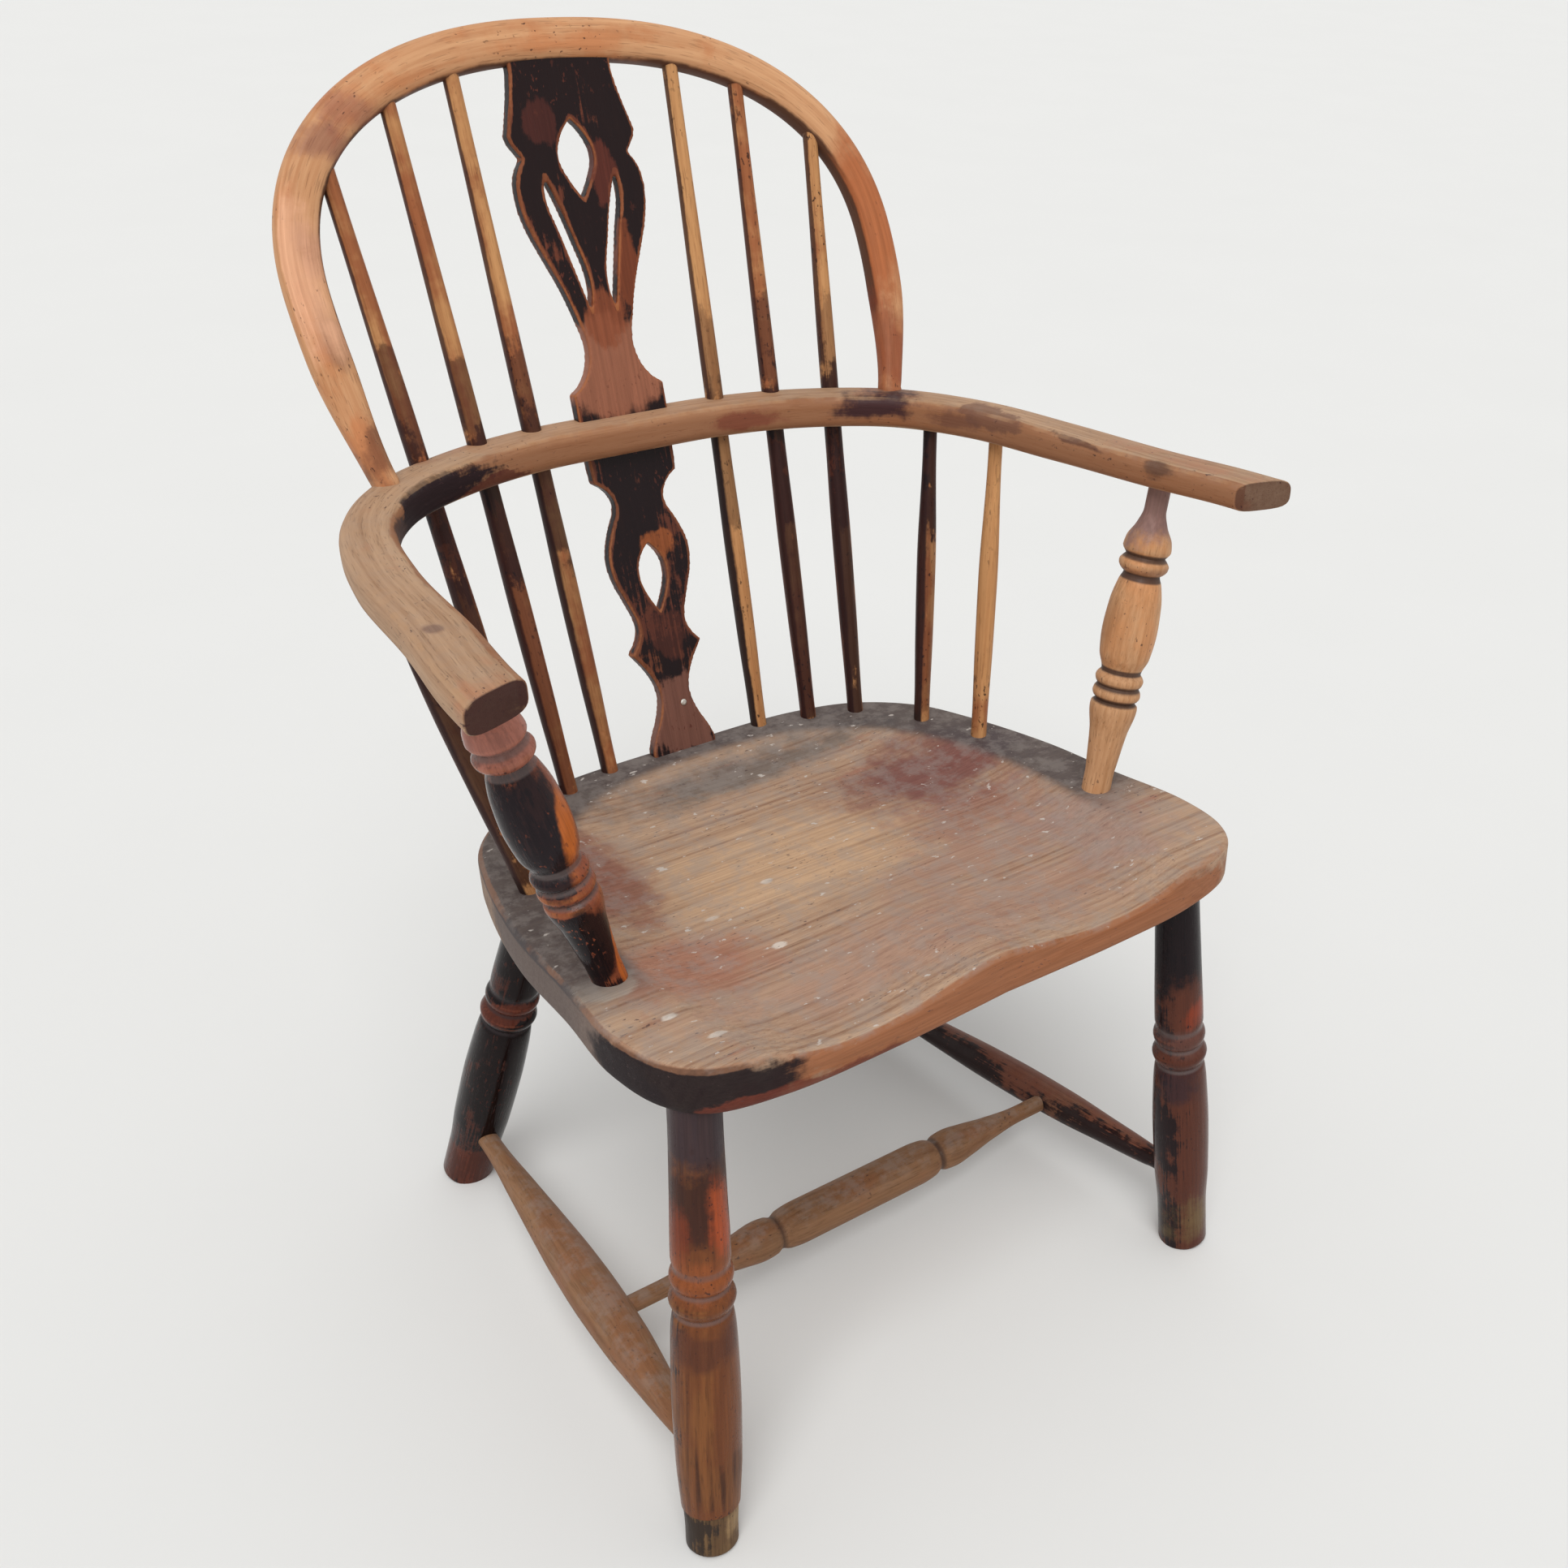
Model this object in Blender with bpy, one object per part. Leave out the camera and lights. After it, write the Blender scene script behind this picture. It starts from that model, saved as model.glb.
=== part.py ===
"""Low-back Windsor elbow chair, old and worn: board seat, steam-bent hoop and arm bow, sticks, pierced
splats in two lengths, turned arm posts and turned legs joined by three stretchers.

Metres, +Z up. The chair faces -Y and stands on z = 0, with the origin under the middle of its box.
The seat board, both bows and all that stands between them share one frame, the raised frame. It leans
back with the seat: its origin is on the board's top face and its XY plane is that face.
"""

from math import atan2, cos, hypot, pi, radians, sin

import bmesh
import bpy
from mathutils import Matrix, Vector

CLEARANCE = 0.0003
MOUTH = 0.012

# Raised frame
LEAN_BACK = radians(2.58)
SEAT_HEIGHT = 0.4074
RAISED_FRAME_Y = 0.0183

# Seat board
SEAT_THICKNESS = 0.037
SEAT_OFF_CENTRE = 0.003
SEAT_SKEW = -0.035
SEAT_BACK_Y = 0.168
SEAT_FRONT_Y = -0.235
SEAT_FRONT_BOW = 0.003
SEAT_BACK_HALF_WIDTH = 0.203
SEAT_MIDDLE_HALF_WIDTH = 0.242
SEAT_FRONT_HALF_WIDTH = 0.257
SEAT_FRONT_WIDEST_Y = -0.150
SEAT_TOP_ROUND = 0.006
SEAT_UNDER_CHAMFER = 0.008
SEAT_FACETS = 60
SEAT_RINGS = 7

# Saddling of the seat
DISH_HALF_WIDTH = 0.200
DISH_MIDDLE_Y = -0.100
DISH_BACK_Y = 0.140
DISH_SQUARENESS = 2.6
DISH_DEPTH = 0.009
DISH_WALL = 0.30
THIGH_HOLLOW_DEPTH = 0.006
THIGH_HOLLOW_X = 0.115
THIGH_HOLLOW_WIDTH = 0.060
POMMEL_WIDTH = 0.042
FRONT_SHAPING_START_Y = -0.060

# Arm bow, on a plane parallel to the seat
ARM_TOP = 0.2564
ARM_BACK_Y = 0.206
ARM_CORNER_X = 0.205
ARM_CORNER_Y = 0.147
ARM_SIDE_X = 0.257
ARM_SIDE_Y = 0.000
ARM_POST_X = 0.270
ARM_POST_Y = -0.092
ARM_TIP_X = 0.287
ARM_TIP_Y = -0.177
ARM_LEFT_SPREAD = 0.015
ARM_BACK_WIDTH = 0.036
ARM_CORNER_WIDTH = 0.034
ARM_TIP_WIDTH = 0.042
ARM_BACK_THICKNESS = 0.026
ARM_TIP_THICKNESS = 0.021
ARM_STATIONS = 49
ARM_TIP_SLANT = 0.010

# Hoop of the back, on a plane that rakes back from the arm bow
HOOP_RAKE = radians(23.5)
HOOP_FOOT_X = 0.209
HOOP_FOOT_Y = 0.157
HOOP_SHOULDER_X = 0.2270
BACK_LEFT_SHARE = 0.970
BACK_RIGHT_SHARE = 1.010
HOOP_SHOULDER_RISE = 0.112
HOOP_RISE = 0.264
HOOP_SQUARENESS = 2.3
HOOP_FACE = 0.0275
HOOP_DEPTH = 0.021
HOOP_FOOT_FACE = 0.017
HOOP_TAPER_RISE = 0.080
HOOP_TENON_RADIUS = 0.0065
HOOP_TENON_LENGTH = 0.018
HOOP_STATIONS = 45

# Sticks
LONG_STICK_SEAT = ((0.070, 0.157), (0.112, 0.145), (0.151, 0.131))
LONG_STICK_HOOP_X = (0.0845, 0.1345, 0.189)
SHORT_STICK_SEAT = ((0.186, 0.084), (0.205, 0.031))
SHORT_STICK_ARM_Y = (0.121, 0.066)
SHORT_STICK_INSET = 0.0015
STICK_SEAT_RADIUS = 0.0065
STICK_BELLY_RADIUS = 0.0078
STICK_ARM_RADIUS = 0.0070
STICK_HOOP_RADIUS = 0.0055
STICK_SEAT_DEPTH = 0.016
STICK_HOOP_DEPTH = 0.013
STICK_ARM_DEPTH = 0.012
STICK_SIDES = 12

# Splats: half widths against height above the seat or above the arm bow, along the board
SPLAT_THICKNESS = 0.010
SPLAT_SEAT_Y = 0.158
SPLAT_ARM_Y = 0.210
SPLAT_SEAT_DEPTH = 0.014
SPLAT_ARM_DEPTH = 0.011
SPLAT_HOOP_DEPTH = 0.011
SPLAT_OFF_CENTRE = -0.0025
UPPER_SHOULDER = 0.0488
UPPER_TOP = 0.0385
UPPER_LOBE = 0.0495
UPPER_WAIST = 0.0185
UPPER_FOOT = 0.0370
LOWER_TOP = 0.0360
LOWER_NECK = 0.0205
LOWER_LOBE = 0.0342
LOWER_WAIST = 0.0205
LOWER_POINT = 0.0305
LOWER_ANKLE = 0.0130
LOWER_FOOT = 0.0285
NAIL_RISE = 0.037
NAIL_X = 0.005
NAIL_RADIUS = 0.0026
NAIL_HEAD = 0.0012
NAIL_SHANK_RADIUS = 0.0009
NAIL_SHANK = 0.006

# Arm posts
POST_SEAT_X = 0.220
POST_LEFT_SEAT_INSET = 0.005
POST_LEFT_HEAD_INSET = 0.007
POST_SEAT_Y = -0.097
POST_SEAT_DEPTH = 0.018
POST_ARM_DEPTH = 0.012
POST_FOOT_RADIUS = 0.0115
POST_RING_RADIUS = 0.0192
POST_BULB_RADIUS = 0.0213
POST_GROOVE_RADIUS = 0.0150
POST_NECK_RADIUS = 0.0085
TURNED_SIDES = 16

# Legs
FRONT_LEG_SEAT_X = 0.216
FRONT_LEG_SEAT_Y = -0.196
BACK_LEG_SEAT_X = 0.150
BACK_LEG_SEAT_Y = 0.118
FRONT_LEFT_FOOT = (-0.246, -0.221)
FRONT_RIGHT_FOOT = (0.255, -0.212)
BACK_LEFT_FOOT = (-0.207, 0.244)
BACK_RIGHT_FOOT = (0.208, 0.236)
FRONT_LEFT_RINGS_UP = 0.030
LEG_TOP_RADIUS = 0.0175
LEG_NECK_RADIUS = 0.0200
LEG_RING_RADIUS = 0.0228
LEG_GROOVE_RADIUS = 0.0182
LEG_BULB_RADIUS = 0.0240
LEG_FOOT_RADIUS = 0.0185
LEG_HOUSING_DEPTH = 0.005
LEG_TENON_RADIUS = 0.0125
LEG_TENON_DEPTH = 0.017
FOOT_TIP_LENGTH = 0.040
FOOT_TIP_RADIUS = 0.0190
FOOT_TIP_SPIGOT_RADIUS = 0.0090
FOOT_TIP_SPIGOT = 0.018

# Stretchers
SIDE_FRONT_HEIGHT = 0.074
SIDE_BACK_HEIGHT = {"left": 0.058, "right": 0.045}
SIDE_END_RADIUS = 0.0085
SIDE_BELLY_RADIUS = {"left": 0.0195, "right": 0.0160}
SIDE_TENON = 0.014
CROSS_SHARE = {"left": 0.63, "right": 0.66}
CROSS_END_RADIUS = 0.0075
CROSS_BARREL_RADIUS = 0.0185
CROSS_GROOVE_RADIUS = 0.0140
CROSS_BULB_RADIUS = 0.0172
CROSS_GROOVE_X = 0.083
CROSS_GROOVE_OFF_CENTRE = 0.012
CROSS_TENON = 0.011

DARK_STAIN = (0.045, 0.022, 0.018)
WORN_HONEY = (0.42, 0.20, 0.085)
WORN_TAN = (0.36, 0.22, 0.13)
RED_BROWN = (0.17, 0.065, 0.035)
GREY_TAN = (0.22, 0.14, 0.09)
BRIGHT_STEEL = (0.75, 0.75, 0.72)


def clear_scene():
    """Remove whatever the file held before."""
    for old in list(bpy.data.objects):
        bpy.data.objects.remove(old, do_unlink=True)


def finish(name, colour, roughness=0.55, metallic=0.0):
    """Material with one Principled shader."""
    material = bpy.data.materials.new(name)
    material.use_nodes = True
    shader = material.node_tree.nodes["Principled BSDF"]
    shader.inputs["Base Color"].default_value = (*colour, 1.0)
    shader.inputs["Roughness"].default_value = roughness
    shader.inputs["Metallic"].default_value = metallic
    return material


def frame_empty(name, parent=None, location=(0, 0, 0), lean=0.0):
    """Empty that carries the pieces of one frame."""
    empty = bpy.data.objects.new(name, None)
    bpy.context.scene.collection.objects.link(empty)
    empty.parent = parent
    empty.location = location
    empty.rotation_euler = (-lean, 0, 0)
    return empty


def face_outwards(builder):
    """Turn every face of a closed body outwards."""
    bmesh.ops.recalc_face_normals(builder, faces=builder.faces[:])
    if builder.calc_volume(signed=True) < 0:
        bmesh.ops.reverse_faces(builder, faces=builder.faces[:])


def add_piece(name, mesh_builder, parent, colour, roughness=0.55, metallic=0.0, matrix=None):
    """Object made of a bmesh, with its own material, under its frame."""
    mesh = bpy.data.meshes.new(name)
    face_outwards(mesh_builder)
    mesh_builder.to_mesh(mesh)
    mesh_builder.free()
    piece = bpy.data.objects.new(name, mesh)
    bpy.context.scene.collection.objects.link(piece)
    piece.parent = parent
    if matrix is not None:
        piece.matrix_local = matrix
    mesh.materials.append(finish(name + "_finish", colour, roughness, metallic))
    mesh.shade_smooth()
    mesh.set_sharp_from_angle(angle=radians(35))
    return piece


def add_cutter(name, builders, parent):
    """Hidden object made of several separate closed bodies, each given as (bmesh, matrix)."""
    merged = bmesh.new()
    for builder, matrix in builders:
        builder.transform(matrix)
        face_outwards(builder)
        scrap = bpy.data.meshes.new(name)
        builder.to_mesh(scrap)
        builder.free()
        merged.from_mesh(scrap)
        bpy.data.meshes.remove(scrap)
    mesh = bpy.data.meshes.new(name)
    merged.to_mesh(mesh)
    merged.free()
    cutter = bpy.data.objects.new(name, mesh)
    bpy.context.scene.collection.objects.link(cutter)
    cutter.parent = parent
    cutter.hide_render = True
    cutter.display_type = "WIRE"
    return cutter


def cut(piece, cutter):
    """Take the cutter's bodies out of a piece."""
    modifier = piece.modifiers.new(cutter.name, "BOOLEAN")
    modifier.operation = "DIFFERENCE"
    modifier.solver = "EXACT"
    modifier.object = cutter


def along(start, end):
    """Matrix whose origin is start and whose Z axis points at end."""
    direction = Vector(end) - Vector(start)
    turn = direction.to_track_quat("Z", "Y").to_matrix().to_4x4()
    return Matrix.Translation(Vector(start)) @ turn


def skin_rings(rings):
    """Closed body through rings of equal count, with a flat cap at each end."""
    builder = bmesh.new()
    loops = [[builder.verts.new(point) for point in ring] for ring in rings]
    count = len(loops[0])
    for low, high in zip(loops, loops[1:]):
        for i in range(count):
            j = (i + 1) % count
            builder.faces.new((low[i], low[j], high[j], high[i]))
    builder.faces.new(loops[0])
    builder.faces.new(loops[-1])
    return builder


def turned(profile, sides):
    """Body turned about Z from (height, radius) pairs."""
    turns = [2 * pi * i / sides for i in range(sides)]
    return skin_rings([[(r * cos(a), r * sin(a), z) for a in turns] for z, r in profile])


def peg(radius, low, high, sides=STICK_SIDES):
    """Plain cylinder along Z."""
    return turned([(low, radius), (high, radius)], sides)


def ease(value):
    """Smooth step from 0 to 1."""
    value = min(1.0, max(0.0, value))
    return value * value * (3 - 2 * value)


def blend(points, share):
    """Value at share (0 to 1) of (share, value) pairs, eased between them."""
    for (s0, v0), (s1, v1) in zip(points, points[1:]):
        if share <= s1:
            return v0 + (v1 - v0) * ease((share - s0) / (s1 - s0))
    return points[-1][1]


def curve_through(knots, count):
    """Points on a centripetal curve through the knots, spread evenly by length."""
    knots = [Vector(k) for k in knots]
    ends = [2 * knots[0] - knots[1], *knots, 2 * knots[-1] - knots[-2]]
    fine = []
    for p0, p1, p2, p3 in zip(ends, ends[1:], ends[2:], ends[3:]):
        times = [0.0]
        for a, b in ((p0, p1), (p1, p2), (p2, p3)):
            times.append(times[-1] + max((b - a).length, 1e-9) ** 0.5)
        for step in range(16):
            t = times[1] + (times[2] - times[1]) * step / 16
            a1 = p0.lerp(p1, (t - times[0]) / (times[1] - times[0]))
            a2 = p1.lerp(p2, (t - times[1]) / (times[2] - times[1]))
            a3 = p2.lerp(p3, (t - times[2]) / (times[3] - times[2]))
            b1 = a1.lerp(a2, (t - times[0]) / (times[2] - times[0]))
            b2 = a2.lerp(a3, (t - times[1]) / (times[3] - times[1]))
            fine.append(b1.lerp(b2, (t - times[1]) / (times[2] - times[1])))
    fine.append(knots[-1])
    lengths = [0.0]
    for a, b in zip(fine, fine[1:]):
        lengths.append(lengths[-1] + (b - a).length)
    evenly, segment = [], 0
    for i in range(count):
        wanted = lengths[-1] * i / (count - 1)
        while segment < len(fine) - 2 and lengths[segment + 1] < wanted:
            segment += 1
        span = lengths[segment + 1] - lengths[segment]
        evenly.append(fine[segment].lerp(fine[segment + 1], (wanted - lengths[segment]) / span))
    return evenly


def rounded_section(half_width, half_depth, squareness=3.4, count=12):
    """Rounded rectangle as (across, deep) pairs."""
    section = []
    for i in range(count):
        a = 2 * pi * (i + 0.5) / count
        c, s = cos(a), sin(a)
        reach = (abs(c) ** squareness + abs(s) ** squareness) ** (-1 / squareness)
        section.append((half_width * reach * c, half_depth * reach * s))
    return section


# Seat board

def seat_half_outline():
    """Right half of the board's outline, back to front, in its own plane."""
    return [
        (0.0, SEAT_BACK_Y),
        (SEAT_BACK_HALF_WIDTH * 0.52, SEAT_BACK_Y - 0.004),
        (SEAT_BACK_HALF_WIDTH * 0.80, SEAT_BACK_Y - 0.021),
        (SEAT_BACK_HALF_WIDTH, SEAT_BACK_Y - 0.057),
        (SEAT_BACK_HALF_WIDTH + 0.019, SEAT_BACK_Y - 0.100),
        (SEAT_MIDDLE_HALF_WIDTH, SEAT_BACK_Y - 0.180),
        (SEAT_FRONT_HALF_WIDTH - 0.008, SEAT_FRONT_WIDEST_Y + 0.065),
        (SEAT_FRONT_HALF_WIDTH, SEAT_FRONT_WIDEST_Y),
        (SEAT_FRONT_HALF_WIDTH - 0.007, SEAT_FRONT_WIDEST_Y - 0.046),
        (SEAT_FRONT_HALF_WIDTH - 0.026, SEAT_FRONT_Y + 0.014),
        (SEAT_FRONT_HALF_WIDTH - 0.077, SEAT_FRONT_Y),
        (SEAT_FRONT_HALF_WIDTH - 0.159, SEAT_FRONT_Y - SEAT_FRONT_BOW),
        (0.040, SEAT_FRONT_Y - SEAT_FRONT_BOW / 2),
        (0.0, SEAT_FRONT_Y),
    ]


def seat_outline():
    """Closed outline of the board, starting at the middle of the back."""
    right = curve_through([(x, y, 0) for x, y in seat_half_outline()], SEAT_FACETS // 2 + 1)
    left = [Vector((-p.x, p.y, 0)) for p in right[-2:0:-1]]
    return [Vector((p.x + SEAT_OFF_CENTRE + SEAT_SKEW * p.y, p.y, 0)) for p in right + left]


def saddle(x, y):
    """Height of the saddled top face, 0 on the flat rim and less in the dish."""
    across = abs(x - SEAT_OFF_CENTRE / 2) / DISH_HALF_WIDTH
    deep = abs(y - DISH_MIDDLE_Y) / (DISH_BACK_Y - DISH_MIDDLE_Y)
    reach = (across**DISH_SQUARENESS + deep**DISH_SQUARENESS) ** (1 / DISH_SQUARENESS)
    inside = min(1.0, max(0.0, (1.0 - reach) / DISH_WALL))
    bowl = inside * (2 - inside)
    front = ease((FRONT_SHAPING_START_Y - y) / (FRONT_SHAPING_START_Y - SEAT_FRONT_Y))
    sides = abs(abs(x) - THIGH_HOLLOW_X) / THIGH_HOLLOW_WIDTH
    hollow = THIGH_HOLLOW_DEPTH * front * max(0.0, 1 - sides * sides)
    pommel = front * 2.718 ** (-((x / POMMEL_WIDTH) ** 2))
    return -(DISH_DEPTH * bowl + hollow) * (1 - pommel)


def seat_body():
    """Board with a saddled top, rounded rim and chamfered underside."""
    outline = seat_outline()
    count = len(outline)
    normals = []
    for i, point in enumerate(outline):
        tangent = outline[(i + 1) % count] - outline[i - 1]
        normals.append(Vector((tangent.y, -tangent.x, 0)).normalized())
    if (outline[0] + normals[0] * 0.01).y < outline[0].y:
        normals = [-n for n in normals]
    centre = Vector((SEAT_OFF_CENTRE, -0.03, 0))
    inset = [p - n * SEAT_TOP_ROUND for p, n in zip(outline, normals)]
    rings = []
    for ring in range(1, SEAT_RINGS + 1):
        share = ring / SEAT_RINGS
        flat = [centre.lerp(p, share) for p in inset]
        rings.append([(p.x, p.y, saddle(p.x, p.y)) for p in flat])
    rim = [saddle(p.x, p.y) for p in inset]
    edge = SEAT_TOP_ROUND * 0.3
    rings.append([(p.x - n.x * edge, p.y - n.y * edge, h - edge) for p, n, h in zip(outline, normals, rim)])
    rings.append([(p.x, p.y, h - SEAT_TOP_ROUND) for p, h in zip(outline, rim)])
    rings.append([(p.x, p.y, SEAT_UNDER_CHAMFER - SEAT_THICKNESS) for p in outline])
    under = [p - n * SEAT_UNDER_CHAMFER for p, n in zip(outline, normals)]
    rings.append([(p.x, p.y, -SEAT_THICKNESS) for p in under])
    return skin_rings(rings)


# Bows

def arm_half(spread):
    """Centreline of half of the arm bow, from the middle of the back to one tip."""
    return [
        (0.0, ARM_BACK_Y),
        (ARM_CORNER_X * 0.39, ARM_BACK_Y - 0.003),
        (ARM_CORNER_X * 0.71, ARM_BACK_Y - 0.021),
        (ARM_CORNER_X + spread * 0.1, ARM_CORNER_Y + spread * 0.2),
        ((ARM_CORNER_X + ARM_SIDE_X) / 2 + 0.010 + spread * 0.5, ARM_SIDE_Y + 0.085 + spread * 0.6),
        (ARM_SIDE_X + spread, ARM_SIDE_Y + spread),
        (ARM_POST_X + spread, ARM_POST_Y + spread * 0.6),
        (ARM_TIP_X - 0.005 + spread * 0.9, ARM_TIP_Y + 0.032),
        (ARM_TIP_X + spread * 0.8, ARM_TIP_Y),
    ]


def arm_line():
    """Centreline of the arm bow from the left tip to the right tip."""
    right = curve_through([(x, y, 0) for x, y in arm_half(0.0)], ARM_STATIONS // 2 + 1)
    left = curve_through([(-x, y, 0) for x, y in arm_half(ARM_LEFT_SPREAD)], ARM_STATIONS // 2 + 1)
    return left[:0:-1] + right


def arm_reach(side, y):
    """Distance of the arm bow's centreline from the middle plane at a given y, on one side."""
    line = [(abs(p.x), p.y) for p in arm_line() if p.x * side > 0]
    line.sort(key=lambda point: point[1])
    for (x0, y0), (x1, y1) in zip(line, line[1:]):
        if y0 <= y <= y1:
            return x0 + (x1 - x0) * (y - y0) / (y1 - y0)
    return line[-1][0]


def arm_thickness(share):
    """Thickness at a share of the way from the middle of the back (0) to a tip (1)."""
    return blend([(0, ARM_BACK_THICKNESS), (0.45, ARM_BACK_THICKNESS), (1, ARM_TIP_THICKNESS)], share)


def arm_body():
    """Arm bow: rounded bar bent round the sitter, its ends cut aslant."""
    line = arm_line()
    middle = (len(line) - 1) / 2
    widths = [(0, ARM_BACK_WIDTH), (0.45, ARM_CORNER_WIDTH), (0.70, 0.038), (1, ARM_TIP_WIDTH)]
    rings = []
    for i, point in enumerate(line):
        before, after = line[max(i - 1, 0)], line[min(i + 1, len(line) - 1)]
        tangent = (after - before).normalized()
        outward = Vector((-tangent.y, tangent.x, 0))
        share = abs(i - middle) / middle
        half_thickness = arm_thickness(share) / 2
        end = {0: -1, len(line) - 1: 1}.get(i, 0)
        ring = []
        for across, deep in rounded_section(blend(widths, share) / 2, half_thickness):
            slant = end * across / ARM_TIP_WIDTH * ARM_TIP_SLANT * 2
            spot = point + outward * across + tangent * slant
            ring.append((spot.x, spot.y, ARM_TOP - half_thickness + deep))
        rings.append(ring)
    return skin_rings(rings)


def hoop_point(x, rise):
    """Point of the raised frame on the hoop's plane."""
    return Vector((x, HOOP_FOOT_Y + rise * sin(HOOP_RAKE), ARM_TOP + rise * cos(HOOP_RAKE)))


def back_share(side):
    """The back is a little wider on its right side than on its left."""
    return BACK_LEFT_SHARE if side < 0 else BACK_RIGHT_SHARE


def hoop_half(side):
    """Centreline of half of the hoop as (x, rise) pairs, from its foot to the middle of the crown."""
    top = HOOP_RISE - HOOP_SHOULDER_RISE
    shoulder = HOOP_SHOULDER_X * back_share(side)
    half = []
    leg_steps = 7
    for i in range(leg_steps):
        rise = HOOP_SHOULDER_RISE * i / leg_steps
        swell = sin(pi / 2 * (i / leg_steps) ** 0.9)
        half.append((side * (HOOP_FOOT_X + (shoulder - HOOP_FOOT_X) * swell), rise))
    arch_steps = HOOP_STATIONS // 2 - leg_steps
    for i in range(arch_steps + 1):
        a = pi / 2 * i / arch_steps
        c, s = max(cos(a), 0.0), sin(a)
        reach = (c**HOOP_SQUARENESS + s**HOOP_SQUARENESS) ** (-1 / HOOP_SQUARENESS)
        half.append((side * shoulder * reach * c, HOOP_SHOULDER_RISE + top * reach * s))
    return half


def hoop_line():
    """Centreline of the hoop from its left foot to its right foot."""
    return hoop_half(-1) + hoop_half(1)[-2::-1]


def hoop_body():
    """Hoop: rounded bar, finer towards its two feet, with a round tenon on each."""
    line = hoop_line()
    outwards = Vector((0, cos(HOOP_RAKE), -sin(HOOP_RAKE)))
    rings = []
    for i, (x, rise) in enumerate(line):
        before, after = line[max(i - 1, 0)], line[min(i + 1, len(line) - 1)]
        dx, dr = after[0] - before[0], after[1] - before[1]
        length = hypot(dx, dr)
        face = blend([(0, HOOP_FOOT_FACE), (1, HOOP_FACE)], min(1.0, rise / HOOP_TAPER_RISE))
        depth = blend([(0, HOOP_FOOT_FACE), (1, HOOP_DEPTH)], min(1.0, rise / HOOP_TAPER_RISE))
        ring = []
        for across, deep in rounded_section(face / 2, depth / 2, 2.8):
            spot = hoop_point(x - dr / length * across, rise + dx / length * across) + outwards * deep
            ring.append(spot)
        rings.append(ring)
    for ring_index, foot in ((0, -1), (-1, 1)):
        rings[ring_index] = hoop_foot_ring(foot, CLEARANCE, HOOP_FOOT_FACE / 2)
    tenons = []
    for foot in (-1, 1):
        tenons.append(hoop_foot_ring(foot, CLEARANCE, HOOP_TENON_RADIUS))
    ends = []
    for foot in (-1, 1):
        ends.append(hoop_foot_ring(foot, -HOOP_TENON_LENGTH, HOOP_TENON_RADIUS))
    return skin_rings([ends[0], tenons[0], *rings, tenons[1], ends[1]])


def hoop_foot_ring(side, height, radius, count=12):
    """Level ring at a foot of the hoop, at a height above the arm bow's top."""
    drop = height * sin(HOOP_RAKE) / cos(HOOP_RAKE)
    centre = Vector((side * HOOP_FOOT_X, HOOP_FOOT_Y + drop, ARM_TOP + height))
    ring = []
    for i in range(count):
        a = 2 * pi * (i + 0.5) / count
        across, deep = radius * cos(a), radius * sin(a)
        ring.append(centre + Vector((across * -side if side > 0 else across, deep, 0)))
    return ring


# Turned work

def stick_profile(length, arm_at, ends):
    """Long or short stick: (distance, radius) pairs from its lower tenon to its upper one."""
    depth_low, radius_high, depth_high = ends
    profile = [(-depth_low, STICK_SEAT_RADIUS), (MOUTH, STICK_SEAT_RADIUS)]
    belly = 0.55 * arm_at
    profile.append((belly * 0.55, (STICK_SEAT_RADIUS + STICK_BELLY_RADIUS) / 2 + 0.0003))
    profile.append((belly, STICK_BELLY_RADIUS))
    if arm_at < length:
        passage = ARM_BACK_THICKNESS + MOUTH
        profile.append((arm_at - passage, STICK_ARM_RADIUS))
        profile.append((arm_at + MOUTH, STICK_ARM_RADIUS))
    profile.append((length - MOUTH, radius_high))
    profile.append((length + depth_high, radius_high))
    return profile


def post_profile(length):
    """Arm post from the seat up: cone, two rings, bulb, ring, bell and neck."""
    from_top = [
        (0.000, POST_NECK_RADIUS),
        (0.070, POST_NECK_RADIUS),
        (0.120, 0.0120),
        (0.165, 0.0175),
        (0.193, POST_RING_RADIUS - 0.0007),
        (0.207, 0.0165),
        (0.215, POST_GROOVE_RADIUS),
        (0.224, 0.0168),
        (0.240, POST_RING_RADIUS),
        (0.252, POST_RING_RADIUS - 0.0005),
        (0.264, 0.0165),
        (0.272, POST_GROOVE_RADIUS - 0.0010),
        (0.300, 0.0165),
        (0.370, 0.0200),
        (0.460, POST_BULB_RADIUS),
        (0.540, 0.0196),
        (0.595, 0.0155),
        (0.605, 0.0175),
        (0.618, POST_RING_RADIUS - 0.0003),
        (0.633, 0.0180),
        (0.643, 0.0163),
        (0.655, 0.0182),
        (0.670, POST_RING_RADIUS - 0.0003),
        (0.683, 0.0175),
        (0.692, POST_GROOVE_RADIUS),
        (0.704, 0.0182),
        (0.716, 0.0186),
        (0.800, 0.0150),
        (0.900, 0.0125),
    ]
    upper = [(length * (1 - share), radius) for share, radius in reversed(from_top)]
    foot = [(-POST_SEAT_DEPTH, POST_FOOT_RADIUS), (MOUTH, POST_FOOT_RADIUS)]
    return foot + upper + [(length + POST_ARM_DEPTH, POST_NECK_RADIUS)]


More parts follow.
